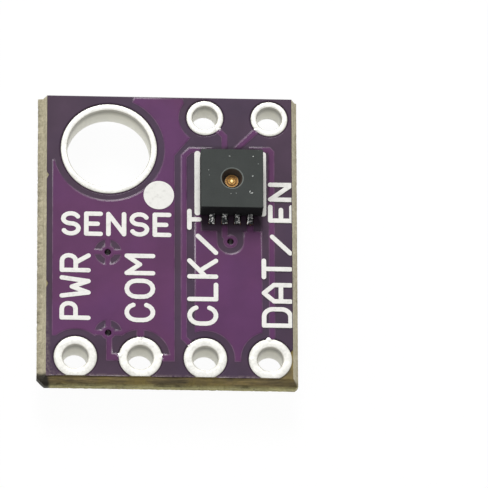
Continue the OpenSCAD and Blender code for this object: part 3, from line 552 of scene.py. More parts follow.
def add_piece(name, verts, faces, material, marks=None, smooth_shaded=True):
    """Makes a mesh piece from points in millimetres, and marks as {name: numbers per point}."""
    mesh = bpy.data.meshes.new(name)
    mesh.from_pydata([Vector(v) * MM for v in verts], [], faces)
    for mark, values in (marks or {}).items():
        layer = mesh.attributes.new(mark, "FLOAT", "POINT")
        layer.data.foreach_set("value", values)
    mesh.validate()
    piece = bpy.data.objects.new(name, mesh)
    bpy.context.scene.collection.objects.link(piece)
    mesh.materials.append(material)
    if smooth_shaded:
        mesh.polygons.foreach_set("use_smooth", [True] * len(mesh.polygons))
    return piece


def settle(piece, slot, *replaced):
    """Puts a finished piece on the board's body and hides the CAD nodes it takes the place of; slot is
    not used.
    """
    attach(piece, "root")
    if replaced:
        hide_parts(*replaced)
    return piece


def dress(node, material):
    """Gives a CAD node that stays its material."""
    thing = NODES[node]
    if not thing.data.materials:
        thing.data.materials.append(material)
    for i in range(len(thing.material_slots)):
        thing.material_slots[i].material = material


def soften(node, width_mm, steps=2):
    """Rounds a CAD node's sharp edges for the render, leaving its mesh as it is."""
    bevel = NODES[node].modifiers.new("eased edges", "BEVEL")
    bevel.width = width_mm * MM
    bevel.segments = steps
    bevel.limit_method = "ANGLE"
    bevel.angle_limit = math.radians(40)
    bevel.harden_normals = True


def welded(node):
    """A CAD node's mesh as a bmesh in millimetres, with its double points joined."""
    bm = bmesh.new()
    bm.from_mesh(NODES[node].data)
    bmesh.ops.scale(bm, vec=(1 / MM,) * 3, verts=bm.verts)
    bmesh.ops.remove_doubles(bm, verts=bm.verts, dist=1e-4)
    bm.normal_update()
    return bm


def from_bmesh(name, bm, material):
    """Makes a piece of a bmesh in millimetres."""
    mesh = bpy.data.meshes.new(name)
    bmesh.ops.scale(bm, vec=(MM,) * 3, verts=bm.verts)
    bm.to_mesh(mesh)
    bm.free()
    mesh.materials.append(material)
    piece = bpy.data.objects.new(name, mesh)
    bpy.context.scene.collection.objects.link(piece)
    return piece


def cut_away(bm, at, outward):
    """Cuts off what lies beyond a plane and closes the cut."""
    geometry = bm.verts[:] + bm.edges[:] + bm.faces[:]
    cut = bmesh.ops.bisect_plane(bm, geom=geometry, dist=1e-6, plane_co=at, plane_no=outward,
                                 clear_outer=True)
    edges = [e for e in cut["geom_cut"] if isinstance(e, bmesh.types.BMEdge)]
    bmesh.ops.triangle_fill(bm, edges=edges, use_beauty=True)


# The laminate

class SENSORBOARD_OT_laminate(Operator):
    """Builds the laminate: a core with its holes, and the scored and torn edges round it"""
    bl_idname = "sensorboard.laminate"
    bl_label = "Laminate"

    def execute(self, context):
        material = laminate_material()
        core = welded("woven_laminate")
        for at, outward in (((LEFT, 0, 0), (-1, 0, 0)), ((RIGHT, 0, 0), (1, 0, 0)),
                            ((0, FRONT, 0), (0, -1, 0))):
            cut_away(core, at, outward)
        # The core's back face takes the same paler, painted-light colour.
        side = core.verts.layers.float.new("side")
        for v in core.verts:
            v[side] = 1.0 if v.co.y > BACK - 0.001 else 0.0
        core_piece = from_bmesh("laminate_core", core, material)
        edge_piece = torn_edges(context.scene.sensor_board_torn_edge, material)
        settle(core_piece, "laminate", "woven_laminate")
        settle(edge_piece, "laminate", "woven_laminate")
        return {"FINISHED"}


def edge_path(pitch):
    """Points along the face's edge from the back left corner round to the back right one.

    Each is (place on the edge, outward direction, distance from the nearest corner)."""
    sides = [
        (Vector((LEFT, BACK)), Vector((LEFT, FRONT)), Vector((-1, 0))),
        (Vector((LEFT, FRONT)), Vector((RIGHT, FRONT)), Vector((0, -1))),
        (Vector((RIGHT, FRONT)), Vector((RIGHT, BACK)), Vector((1, 0))),
    ]
    path = []
    for i, (start, end, out) in enumerate(sides):
        count = max(int((end - start).length / pitch), 2)
        for k in range(count + 1):
            if k == 0 and i > 0:
                continue
            place = start.lerp(end, k / count)
            reach = min((place - start).length, (place - end).length)
            if k == count and i < 2:
                out_here = out + sides[i + 1][2]
            else:
                out_here = out
            path.append((place, out_here, reach))
    return path


def torn_edges(sizes, material):
    """The frame of laminate outside the face: two score grooves and the torn web between them."""
    cad = NODES["woven_laminate"].data
    heights = sorted({round(v.co.z / MM, 4) for v in cad.vertices})
    upper_foot = min((h for h in heights if h > (BOARD_TOP + BOARD_BOTTOM) / 2), default=None)
    lean = 0.15
    shoulder = 0.04
    foot_high = BOARD_TOP - 0.37
    foot_low = BOARD_BOTTOM + 0.37
    reach = {
        (-1, 0): LEFT - LAMINATE_LOW.x - lean,
        (0, -1): FRONT - LAMINATE_LOW.y - lean,
        (1, 0): LAMINATE_HIGH.x - RIGHT - lean,
    }
    tooth = sizes.tooth / MM
    wander = sizes.wander / MM
    path = edge_path(sizes.pitch / MM)

    def section(place, out, near):
        """(outward share of lean, outward share of tear, height, torn mark) down the edge."""
        calm = smooth(near / 0.4)
        seed = Vector((place.x * 2.3, place.y * 2.3, 0))
        drift = noise.noise(seed * 1.7) * wander + noise.noise(seed * 7.0) * wander * 0.6
        high = foot_high + drift * calm
        low = foot_low + noise.noise(seed * 2.1 + Vector((5, 1, 3))) * wander * calm
        rows = [(0.0, 0.0, BOARD_TOP, 0.0)]
        for k in range(1, 5):
            share = k / 5
            rows.append((share, 0.0, BOARD_TOP + (high - BOARD_TOP) * share, 0.0))
        rows.append((1.0, 0.0, high, 0.15))
        steps = 9
        for k in range(steps + 1):
            share = k / steps
            z = high - shoulder + (low + shoulder - high + shoulder) * share
            bite = abs(noise.noise(Vector((place.x * 9, place.y * 9, z * 7 + 3)))) * tooth * 1.6
            bite += max(noise.noise(seed * 3.1 + Vector((0, 0, z))), 0.0) * tooth
            end = min(share, 1 - share) * 4
            rows.append((1.0, 1.0 - (bite * calm) / 0.11 * min(end + 0.3, 1), z, 1.0))
        rows.append((1.0, 0.0, low, 0.15))
        for k in range(4, 0, -1):
            share = k / 5
            rows.append((share, 0.0, BOARD_BOTTOM + (low - BOARD_BOTTOM) * share, 0.0))
        rows.append((0.0, 0.0, BOARD_BOTTOM, 0.0))
        return rows

    verts, torn, flank, corner_shadow, columns = [], [], [], [], []
    for place, out, near in path:
        column = []
        for leaned, tear, z, mark in section(place, out, near):
            x, y = place
            if out.x:
                side = (1, 0) if out.x > 0 else (-1, 0)
                x += out.x * (lean * leaned + max(reach[side] * tear, -0.1))
            if out.y:
                y += out.y * (lean * leaned + max(reach[(0, -1)] * tear, -0.1))
            column.append(len(verts))
            verts.append((x, y, z))
            torn.append(mark)
            # Marks the long sides for their paler, painted-light colour.
            flank.append(1.0 if abs(out.x) > 0 and not out.y else 0.0)
            # Painted shadow on the broken front left corner.
            corner = (Vector((x, y)) - Vector((LAMINATE_LOW.x, LAMINATE_LOW.y))).length
            corner_shadow.append(0.95 * smooth((0.56 - corner) / 0.12))
        columns.append(column)
    faces = []
    for a, b in zip(columns, columns[1:]):
        for i in range(len(a) - 1):
            faces.append((a[i], a[i + 1], b[i + 1], b[i]))
        faces.append((a[-1], a[0], b[0], b[-1]))
    faces.append(tuple(reversed(columns[0])))
    faces.append(tuple(columns[-1]))
    piece = add_piece("torn_edges", verts, faces, material, {"torn": torn, "side": flank, "corner_shadow": corner_shadow})
    bm = bmesh.new()
    bm.from_mesh(piece.data)
    bmesh.ops.recalc_face_normals(bm, faces=bm.faces)
    for corner, outward, loss in (
        ((LAMINATE_LOW.x, LAMINATE_LOW.y), (-1, -1, 0), 0.30),
        ((LAMINATE_HIGH.x, LAMINATE_LOW.y), (1, -1, 0), 0.12),
    ):
        inward = -1 if outward[0] > 0 else 1
        cut_away(bm, (Vector((corner[0] + inward * loss, corner[1], 0))) * MM, outward)
    bm.to_mesh(piece.data)
    bm.free()
    return piece


# The solder mask

def coat_outlines(bm, up, face_z, low_level):
    """The outlines of a coat's outer skin, seen from outside, as directed pairs of points.

    Steps have the raised mask over copper on their left, borders have the mask on their left."""
    steps, borders = [], []

    def height(v):
        return (v.co.z - face_z) * up

    for face in bm.faces:
        if face.normal.z * up < 0.99:
            continue
        level = height(face.verts[0])
        for loop in face.loops:
            others = [f for f in loop.edge.link_faces if f is not face]
            if not others or others[0].normal.z * up > 0.99:
                continue
            a, b = loop.vert, loop.link_loop_next.vert
            far = [height(v) for v in others[0].verts if v not in (a, b)]
            pair = (a.co.xy.to_tuple(5), b.co.xy.to_tuple(5))
            if up < 0:
                pair = pair[::-1]
            if min(far) > low_level + 1e-3:
                continue
            if level > low_level + 1e-3 and abs(min(far) - low_level) < 1e-3:
                steps.append(pair)
            elif min(far) < low_level - 1e-3:
                borders.append(pair)
    return steps, borders


def chains(pairs):
    """Joins directed pairs of points into runs, each closed or open."""
    after = {}
    for a, b in pairs:
        after.setdefault(a, []).append(b)
    ends = {b for _, b in pairs}
    runs = []
    starts = [a for a in after if a not in ends] + list(after)
    for start in starts:
        while after.get(start):
            run = [start]
            while after.get(run[-1]):
                run.append(after[run[-1]].pop())
                if run[-1] == start:
                    break
            runs.append(run)
    return runs


def straightened(run):
    """The run without the points that lie on a straight stretch of it."""
    kept = [run[0]]
    for here, following in zip(run[1:], run[2:]):
        before = Vector(kept[-1])
        bend = (Vector(here) - before).normalized().cross(
            (Vector(following) - Vector(here)).normalized()) if following != here else 0
        if abs(bend) > 1e-3:
            kept.append(here)
    kept.append(run[-1])
    return kept


def beside(run, distance):
    """The run moved sideways, to its left where distance is positive, with mitred bends."""
    closed = run[0] == run[-1]
    points = [Vector(p) for p in (run[:-1] if closed else run)]
    moved = []
    count = len(points)
    for i, here in enumerate(points):
        before = points[i - 1] if closed or i > 0 else None
        following = points[(i + 1) % count] if closed or i < count - 1 else None
        sides = []
        for a, b in ((before, here), (here, following)):
            if a is not None and b is not None and (b - a).length > 1e-6:
                along = (b - a).normalized()
                sides.append(Vector((-along.y, along.x)))
        if not sides:
            continue
        normal = sum(sides, Vector((0, 0))) / len(sides)
        mitre = normal / max(normal.length_squared, 0.3)
        moved.append(here + mitre * distance)
    if not closed and len(moved) > 1:
        reach = abs(distance) + 0.02
        moved[0] -= (moved[1] - moved[0]).normalized() * reach
        moved[-1] += (moved[-1] - moved[-2]).normalized() * reach
    return moved, closed


class Distances:
    """Distance from points to the nearest of a set of segments, found through a grid of cells."""

    def __init__(self, runs, reach):
        self.cell = max(reach, 0.05)
        self.grid = {}
        for run in runs:
            for a, b in zip(run, run[1:]):
                a, b = Vector(a), Vector(b)
                low_x, high_x = sorted((a.x, b.x))
                low_y, high_y = sorted((a.y, b.y))
                for i in range(self.index(low_x - reach), self.index(high_x + reach) + 1):
                    for j in range(self.index(low_y - reach), self.index(high_y + reach) + 1):
                        self.grid.setdefault((i, j), []).append((a, b))
        self.reach = reach

    def index(self, value):
        return math.floor(value / self.cell)

    def nearest(self, point):
        return self.nearest_way(point)[0]

    def nearest_way(self, point):
        """The distance to the nearest segment, and the direction to that segment's left."""
        best, left = self.reach, Vector((0, 0))
        for a, b in self.grid.get((self.index(point.x), self.index(point.y)), ()):
            along = b - a
            share = min(max((point - a).dot(along) / along.length_squared, 0), 1)
            across = point - a - along * share
            if across.length < best:
                best = across.length
                left = Vector((-along.y, along.x)).normalized()
                if best > 1e-4:
                    side = 1 if across.dot(left) >= 0 else -1
                    left = across.normalized() * side
        return best, left


def pad_margin(point, runs, margin):
    """Whether a point lies in the narrow margin round one of the upright pads."""
    for run in runs:
        low_x, high_x = min(p[0] for p in run), max(p[0] for p in run)
        low_y, high_y = min(p[1] for p in run), max(p[1] for p in run)
        inside = low_x < point.x < high_x and low_y < point.y < high_y
        near = (low_x - margin < point.x < high_x + margin
                and low_y - margin < point.y < high_y + margin)
        if near:
            return not inside
    return False


def drawn_to_ring(point, rings):
    """Moves a point on the rim of a ring's window inwards, so that the mask meets the tin."""
    for centre, radius in rings:
        away = point - centre
        if radius < away.length < radius + 0.055:
            return centre + away * (radius - 0.004) / away.length
    return point


# Share of the mask's thickness that it loses at an opening
LIP_DROP = 0.55


def draped_coat(node, name, up, sizes, material):
    """A coat of mask that rises over the copper in soft slopes and rounds off at its openings."""
    bm = welded(node)
    face_z = BOARD_TOP if up > 0 else BOARD_BOTTOM
    levels = sorted({round((f.verts[0].co.z - face_z) * up, 4) for f in bm.faces
                     if f.normal.z * up > 0.99})
    low_level, high_level = levels[0], levels[-1]
    tree = BVHTree.FromBMesh(bm)

    def level_at(x, y):
        hit = tree.ray_cast(Vector((x, y, face_z + up * 5)), Vector((0, 0, -up)))[0]
        if hit is None:
            return None
        height = (hit.z - face_z) * up
        return height if height > low_level - 1e-3 else None

    steps, borders = coat_outlines(bm, up, face_z, low_level)
    step_runs = [straightened(run) for run in chains(steps)]
    border_runs = [straightened(run) for run in chains(borders)]
    slope, lip = sizes.slope / MM, sizes.lip / MM

    points, edges, rims, pad_runs = [], [], [], []

    def lay(run, closed):
        first = len(points)
        points.extend(run)
        count = len(run)
        for i in range(count - 1):
            edges.append((first + i, first + i + 1))
        if closed and count > 2:
            edges.append((first + count - 1, first))

    for run in border_runs:
        rim = run
        width = max(p[0] for p in run) - min(p[0] for p in run)
        if len(run) <= 9 and width < 3:
            rim, _ = beside(run, -0.046)
            rim = [p.to_tuple() for p in rim]
            rim.append(rim[0])
            pad_runs.append(rim)
        rims.append(rim)
        closed = run[0] == run[-1]
        lay([Vector(p) for p in (rim[:-1] if closed else rim)], closed)
        lay(*beside(rim, lip))
        lay(*beside(rim, lip * 0.35))
    for run in step_runs:
        for share in (-1, -0.5, 0, 0.5, 1):
            lay(*beside(run, slope * share))

    out = delaunay_2d_cdt(points, edges, [], 0, 1e-4, False)
    flat, triangles = out[0], out[2]
    kept = []
    for triangle in triangles:
        a, b, c = (flat[i] for i in triangle)
        if abs((b - a).cross(c - a)) < 1e-9:
            continue
        middle = (a + b + c) / 3
        if level_at(middle.x, middle.y) is not None or pad_margin(middle, pad_runs, 0.046):
            kept.append(tuple(triangle))
    used = sorted({i for triangle in kept for i in triangle})
    number = {old: new for new, old in enumerate(used)}
    step_distance = Distances(step_runs, slope * 1.01)
    border_distance = Distances(rims, lip * 1.01)
    rise = high_level - low_level

    rings = [(bore_of(node)[0], ring_radius(node)) for node in RINGS]
    tops, tilts, over_copper, thin_mask_and_highlight, worn = [], [], [], [], []
    for i in used:
        p = flat[i]
        seen = [level_at(p.x + dx, p.y + dy) for dx, dy in
                ((0, 0), (2e-3, 1e-3), (-2e-3, -1e-3), (1e-3, -2e-3), (-1e-3, 2e-3))]
        seen = [s for s in seen if s is not None]
        raised = bool(seen) and sum(seen) / len(seen) > (low_level + high_level) / 2
        away, uphill = step_distance.nearest_way(p)
        t = min(max(0.5 + (away if raised else -away) / (2 * slope), 0), 1)
        share = smooth(t)
        edge = max(0.0, 1 - away / slope)
        height = low_level + rise * share
        tilt = uphill * (rise * 3 * t * (1 - t) / slope)
        border, inward = border_distance.nearest_way(p)
        if border < lip:
            fall = 1 - border / lip
            drop = LIP_DROP * low_level
            height -= drop * (1 - math.sqrt(max(1 - fall ** 2, 0)))
            tilt += inward * (drop * fall / (lip * math.sqrt(max(1 - fall ** 2, 0.1))))
        tilts.append(Vector((-tilt.x, -tilt.y, up)).normalized())
        p = drawn_to_ring(p, rings)
        tops.append((p.x, p.y, face_z + up * height))
        over_copper.append(share)
        # Marks the copper edges for the pale line: thin mask and a painted highlight.
        thin_mask_and_highlight.append(edge ** 3)
        worn.append(smooth(1 - (p.y - FRONT) / 0.09) if up > 0 else 0.0)
    bm.free()

    verts = list(tops)
    floor = [(x, y, face_z) for x, y, _ in tops]
    verts += floor
    count = len(tops)
    faces = []
    seen_edges = {}
    for triangle in kept:
        a, b, c = (number[i] for i in triangle)
        if up < 0:
            a, b, c = c, b, a
        faces.append((a, b, c))
        faces.append((c + count, b + count, a + count))
        for pair in ((a, b), (b, c), (c, a)):
            seen_edges[pair] = True
    for a, b in list(seen_edges):
        if (b, a) not in seen_edges:
            faces.append((b, a, a + count, b + count))
    marks = {
        "over_copper": over_copper * 2,
        "thin_mask_and_highlight": thin_mask_and_highlight * 2,
        "worn": worn * 2,
    }
    piece = add_piece(name, verts, faces, material, marks)
    shade_by(piece, tilts)
    return piece


def shade_by(piece, directions):
    """Shades the faces whose points all have a direction by those, and the others flat."""
    mesh = piece.data
    normals = []
    for face in mesh.polygons:
        skin = all(i < len(directions) for i in face.vertices)
        normals.extend(directions[i] if skin else face.normal for i in face.vertices)
    mesh.normals_split_custom_set(normals)


class SENSORBOARD_OT_solder_mask(Operator):
    """Drapes the solder mask over the copper on both sides of the board"""
    bl_idname = "sensorboard.solder_mask"
    bl_label = "Solder mask"

    def execute(self, context):
        material = mask_material()
        sizes = context.scene.sensor_board_coat
        for node, up in (("front_mask", 1), ("back_mask", -1)):
            coat = draped_coat(node, node + "_draped", up, sizes, material)
            settle(coat, "solder_mask", node)
        return {"FINISHED"}


def crease_edges(piece, degrees):
    """Shades a piece smooth, apart from edges sharper than this angle."""
    bm = bmesh.new()
    bm.from_mesh(piece.data)
    limit = math.radians(degrees)
    for edge in bm.edges:
        if len(edge.link_faces) == 2:
            edge.smooth = edge.calc_face_angle(0.0) < limit
    for face in bm.faces:
        face.smooth = True
    bm.to_mesh(piece.data)
    bm.free()


# Copper

class SENSORBOARD_OT_copper(Operator):
    """Finishes the copper foil and the vias"""
    bl_idname = "sensorboard.copper"
    bl_label = "Copper"

    def execute(self, context):
        foil, via = copper_material(), via_material()
        for node in ("front_ground_copper", "sensor_ground_copper", "clock_trace", "data_trace",
                     "alert_trace", "address_trace", "reset_trace", "supply_trace",
                     "back_ground_copper", "back_supply_rail", "back_clock_link",
                     "back_data_link", "back_address_link"):
            dress(node, foil)
        for node in ("ground_via_upper", "ground_via_lower", "reset_via", "supply_via",
                     "sensor_pad_via"):
            dress(node, via)
        return {"FINISHED"}


# Tinned rings

# Width of the greyer band at a ring's rim, which takes part of the colour painted in the bores
DULL_RIM = 0.07


def tinned_ring(node, sizes, material):
    """A plated hole's lining with its two rings of tin, rounded where the tin set."""
    low, high = box_mm(node)
    centre, bore = bore_of(node)
    rim = ring_radius(node)
    edge = sizes.edge / MM
    ripple = sizes.ripple / MM
    rise = high.z - BOARD_TOP
    half = []
    for k in range(7):
        a = math.pi / 2 * k / 6
        half.append((rim - edge * (1 - math.cos(a)), BOARD_TOP + rise * math.sin(a) * 0.9))
    crown = 5
    for k in range(0, crown):
        share = (k + 0.2) / crown
        r = (rim - edge) * (1 - share) + (bore + edge) * share
        half.append((r, BOARD_TOP + rise * (0.9 + 0.1 * math.sin(math.pi * share))))
    for k in range(7):
        a = math.pi / 2 * k / 6
        half.append((bore + edge * (1 - math.sin(a)),
                     BOARD_TOP + rise * 0.9 - edge * (1 - math.cos(a))))
    thickness = BOARD_TOP + BOARD_BOTTOM
    wall_top = half[-1][1]
    wall_low = thickness - wall_top
    barrel = [(bore, wall_top + (wall_low - wall_top) * k / 8) for k in range(1, 8)]
    profile = half + barrel + [(r, thickness - z) for r, z in reversed(half)]
    shank = rim - 0.3 * (rim - bore)
    profile += [(shank, BOARD_BOTTOM + 0.01), (shank, BOARD_TOP - 0.01)]
    steps = sizes.steps
    verts, faces, walls = [], [], []
    for s in range(steps):
        angle = 2 * math.pi * s / steps
        for r, z in profile:
            # Marks the bore for its painted shade, and a band at the rim that takes part of that colour.
            walls.append(smooth((bore + edge * 1.5 - r) / (edge * 0.7))
                         + 0.6 * smooth((r - rim + DULL_RIM) / DULL_RIM))
            x, y = math.cos(angle), math.sin(angle)
            seed = Vector((centre.x + x * r, centre.y + y * r, z)) * 1.8
            swell = noise.noise(seed) * ripple + noise.noise(seed * 3.3) * ripple * 0.4
            inside = r < bore + 1e-6
            r_here = r + (abs(swell) if inside else 0.0)
            z_here = z - (abs(swell) if z > BOARD_TOP + 0.02 else 0.0)
            verts.append((centre.x + x * r_here, centre.y + y * r_here, z_here))
    count = len(profile)
    for s in range(steps):
        t = (s + 1) % steps
        for k in range(count):
            n = (k + 1) % count
            faces.append((s * count + k, t * count + k, t * count + n, s * count + n))
    piece = add_piece(node.replace("terminal", "ring_of_tin"), verts, faces, material,
                      {"wall": walls})
    bm = bmesh.new()
    bm.from_mesh(piece.data)
    bmesh.ops.recalc_face_normals(bm, faces=bm.faces)
    for at, outward in (((0, low.y, 0), (0, -1, 0)), ((high.x, 0, 0), (1, 0, 0)),
                        ((0, high.y, 0), (0, 1, 0)), ((low.x, 0, 0), (-1, 0, 0))):
        side = Vector(outward)
        if max(Vector(v).dot(side) for v in verts) > Vector(at).dot(side) + 1e-4:
            cut_away(bm, Vector(at) * MM, outward)
    bm.to_mesh(piece.data)
    bm.free()
    crease_edges(piece, 40)
    return piece


# Where a bridge of copper meets a ring's window, tin has run out on it: the direction from
# the ring's middle in degrees, and the radius of the drop
TIN_RUNS = (
    ("ground_terminal", 176, 0.13), ("ground_terminal", 3, 0.15), ("ground_terminal", 90, 0.15),
    ("data_terminal", 93, 0.13), ("clock_terminal", 137, 0.10), ("alert_terminal", -42, 0.13),
    ("address_terminal", 222, 0.09),
)


def tin_runs(material):
    """Small domed drops of tin at the rims of the rings."""
    verts, faces = [], []
    top = box_mm("ground_terminal")[1].z
    for node, degrees, radius in TIN_RUNS:
        centre, _ = bore_of(node)
        turn = math.radians(degrees)
        out = Vector((math.cos(turn), math.sin(turn)))
        middle = centre + out * (ring_radius(node) - 0.35 * radius)
        steps = 6
        dome = [(radius * math.cos(math.pi / 2 * k / steps),
                 FOIL_TOP + (top - FOIL_TOP) * math.sin(math.pi / 2 * k / steps))
                for k in range(steps)]
        profile = [(0.2 * radius, FOIL_TOP - 0.01), (radius, FOIL_TOP - 0.01)] + dome
        profile.append((0.1 * radius, top))
        drop_verts, drop_faces = lathe(profile, middle, 24)
        first = len(verts)
        verts.extend(drop_verts)
        faces.extend(tuple(i + first for i in face) for face in drop_faces)
    piece = add_piece("tin_runs", verts, faces, material, {"wall": [0.0] * len(verts)})
    bm = bmesh.new()
    bm.from_mesh(piece.data)
    bmesh.ops.recalc_face_normals(bm, faces=bm.faces)
    bm.to_mesh(piece.data)
    bm.free()
    return piece


class SENSORBOARD_OT_tinned_rings(Operator):
    """Builds the tinned linings and rings of the six wire holes and the mounting hole"""
    bl_idname = "sensorboard.tinned_rings"
    bl_label = "Tinned rings"

    def execute(self, context):
        material = tin_material()
        sizes = context.scene.sensor_board_tin
        for node in RINGS:
            settle(tinned_ring(node, sizes, material), "tinned_metal", node)
        settle(tin_runs(material), "tinned_metal")
        return {"FINISHED"}


# White ink

def arc(x, y, rx, ry, start, end, steps=8):
    """Points on an ellipse's arc, with angles in degrees."""
    turn = [math.radians(start + (end - start) * k / steps) for k in range(steps + 1)]
    return [(x + rx * math.cos(a), y + ry * math.sin(a)) for a in turn]


# Each letter is a list of strokes in a cell that is 1 high, with its width first
LETTERS = {
    "A": (0.74, [[(0.0, 0.0), (0.0, 0.62), (0.37, 1.0), (0.74, 0.62), (0.74, 0.0)],
                 [(0.0, 0.36), (0.74, 0.36)]]),
    "C": (0.72, [arc(0.36, 0.62, 0.36, 0.38, 20, 180) + arc(0.36, 0.38, 0.36, 0.38, 180, 340)]),
    "D": (0.74, [[(0.0, 0.0), (0.0, 1.0), (0.40, 1.0)] + arc(0.40, 0.66, 0.34, 0.34, 90, 0)
                 + arc(0.40, 0.34, 0.34, 0.34, 0, -90) + [(0.0, 0.0)]]),
    "E": (0.66, [[(0.66, 1.0), (0.0, 1.0), (0.0, 0.0), (0.66, 0.0)], [(0.0, 0.5), (0.52, 0.5)]]),
    "K": (0.70, [[(0.0, 0.0), (0.0, 1.0)], [(0.70, 1.0), (0.06, 0.44)], [(0.26, 0.60), (0.70, 0.0)]]),
    "L": (0.64, [[(0.0, 1.0), (0.0, 0.0), (0.64, 0.0)]]),
    "M": (0.80, [[(0.0, 0.0), (0.0, 1.0), (0.40, 0.50), (0.80, 1.0), (0.80, 0.0)]]),
    "N": (0.72, [[(0.0, 0.0), (0.0, 1.0), (0.72, 0.0), (0.72, 1.0)]]),
    "O": (0.74, [arc(0.37, 0.63, 0.37, 0.37, 0, 180) + arc(0.37, 0.37, 0.37, 0.37, 180, 360)
                 + [(0.74, 0.63)]]),
    "P": (0.68, [[(0.0, 0.0), (0.0, 1.0), (0.42, 1.0)] + arc(0.42, 0.74, 0.26, 0.26, 90, -90)
                 + [(0.0, 0.48)]]),
    "R": (0.70, [[(0.0, 0.0), (0.0, 1.0), (0.44, 1.0)] + arc(0.44, 0.74, 0.26, 0.26, 90, -90)
                 + [(0.0, 0.48)], [(0.36, 0.48), (0.70, 0.0)]]),
    "S": (0.70, [arc(0.35, 0.74, 0.35, 0.26, 25, 180) + arc(0.35, 0.74, 0.35, 0.24, 180, 270)[1:]
                 + arc(0.35, 0.26, 0.35, 0.24, 90, 0)[1:] + arc(0.35, 0.26, 0.35, 0.26, 0, -155)]),
    "T": (0.74, [[(0.0, 1.0), (0.74, 1.0)], [(0.37, 1.0), (0.37, 0.0)]]),
    "W": (0.86, [[(0.0, 1.0), (0.16, 0.0), (0.43, 0.62), (0.70, 0.0), (0.86, 1.0)]]),
    "/": (0.74, [[(0.0, 0.0), (0.74, 0.68)]]),
}


def word_strokes(word, length, height):
    """A word's strokes, stretched to a length and a height in millimetres."""
    gap = 0.36
    total = sum(LETTERS[c][0] for c in word) + gap * (len(word) - 1)
    stretch = length / total
    strokes, at = [], 0.0
    for c in word:
        width, drawn = LETTERS[c]
        for stroke in drawn:
            strokes.append([Vector(((at + x) * stretch, y * height)) for x, y in stroke])
        at += width + gap
    return strokes


def capsule(a, b, radius, steps=10):
    """The outline of a stroke's straight run with round ends."""
    along = (b - a).normalized() if (b - a).length > 1e-6 else Vector((1, 0))
    base = math.atan2(along.y, along.x)
    outline = []
    for end, turn in ((b, base - math.pi / 2), (a, base + math.pi / 2)):
        for k in range(steps + 1):
            angle = turn + math.pi * k / steps
            outline.append(end + Vector((math.cos(angle), math.sin(angle))) * radius)
    return outline


def ink_layer(name, strokes, radius, low_z, high_z, material):
    """A flat layer of ink over the union of round-ended strokes, with eased upper edges."""
    points, edges = [], []
    for a, b in strokes:
        outline = capsule(a, b, radius)
        first = len(points)
        points.extend(outline)
        edges.extend((first + i, first + (i + 1) % len(outline)) for i in range(len(outline)))
    out = delaunay_2d_cdt(points, edges, [], 0, 1e-4, False)
    reach = Distances(strokes, radius)
    flat = out[0]
    triangles = []
    for triangle in out[2]:
        middle = sum((flat[i] for i in triangle), Vector((0, 0))) / 3
        if reach.nearest(middle) < radius * 0.998:
            triangles.append(tuple(triangle))
    border = {}
    for a, b, c in triangles:
        for pair in ((a, b), (b, c), (c, a)):
            border[pair] = True
    rim = {v for pair in border if pair[::-1] not in border for v in pair}
    count = len(flat)
    ease = 0.006
    verts = [(p.x, p.y, high_z - (ease if i in rim else 0.0)) for i, p in enumerate(flat)]
    verts += [(p.x, p.y, low_z) for p in flat]
    faces = []
    for a, b, c in triangles:
        faces.append((a, b, c))
        faces.append((c + count, b + count, a + count))
    for a, b in border:
        if (b, a) not in border:
            faces.append((b, a, a + count, b + count))
    return add_piece(name, verts, faces, material, smooth_shaded=False)


def outside_pads(start, end):
    """The end of a stroke, drawn back along it to where it is clear of the sensor's pads."""
    low, high = box_mm("sensor_leads")
    for k in range(40):
        point = end.lerp(start, k / 40)
        if not (low.x - 0.36 < point.x < high.x and low.y - 0.75 < point.y < high.y):
            return point
    return end


def word_piece(name, word, start, length, height, upright, sizes, material):
    """A word in ink. start is its lower left corner, and an upright word reads upwards."""
    radius = sizes.stroke / MM / 2
    runs = []
    for stroke in word_strokes(word, length - 2 * radius, height - 2 * radius):
        placed = []
        for p in stroke:
            x, y = p.x + radius, p.y + radius
            placed.append(Vector((start[0] + height - y, start[1] + x)) if upright
                          else Vector((start[0] + x, start[1] + y)))
        runs.extend((a, outside_pads(a, b)) for a, b in zip(placed, placed[1:])
                    if (b - a).length > 1e-4)
    low_z = BOARD_TOP + 0.03
    return ink_layer(name, runs, radius, low_z, MASK_TOP + sizes.thickness / MM, material)


class SENSORBOARD_OT_lettering(Operator):
    """Prints generic words in white ink beside the holes and across the board"""
    bl_idname = "sensorboard.lettering"
    bl_label = "Lettering"

    def execute(self, context):
        material = ink_material()
        sizes = context.scene.sensor_board_lettering
        mark_from = ROW[0].x
        words = (
            ("word_across", "SENSE", (mark_from - 0.585, 0.075), 4.34, 1.03, False),
            ("word_supply", "PWR", (mark_from - 0.63, -3.465), 2.80, 1.22, True),
            ("word_ground", "COM", (ROW[1].x - 0.63, -3.525), 2.88, 1.21, True),
            ("word_clock", "CLK/T", (ROW[2].x - 0.71, -3.63), 4.92, 1.22, True),
            ("word_data", "DAT/", (ROW[3].x - 0.33, -3.665), 3.92, 1.22, True),
            ("word_data_use", "EN", (ROW[3].x - 0.065, 0.76), 1.70, 1.02, True),
        )
        for name, word, start, length, height, upright in words:
            piece = word_piece(name, word, start, length, height, upright, sizes, material)
            trim_to_face(piece)
            settle(piece, "white_ink")
        return {"FINISHED"}


def trim_to_face(piece):
    """Cuts off ink that would run past the board's right edge."""
    bm = bmesh.new()
    bm.from_mesh(piece.data)
    limit = (RIGHT - 0.03) * MM
    if max(v.co.x for v in bm.verts) > limit:
        cut_away(bm, (limit, 0, 0), (1, 0, 0))
    bm.to_mesh(piece.data)
    bm.free()


class SENSORBOARD_OT_white_marks(Operator):
    """Finishes the white dot and the bars beside the sensor"""
    bl_idname = "sensorboard.white_marks"
    bl_label = "White marks"

    def execute(self, context):
        material = ink_material()
        for node in ("orientation_dot", "sensor_outline_bars"):
            dress(node, material)
            soften(node, 0.006, 1)
        return {"FINISHED"}


# The sensor

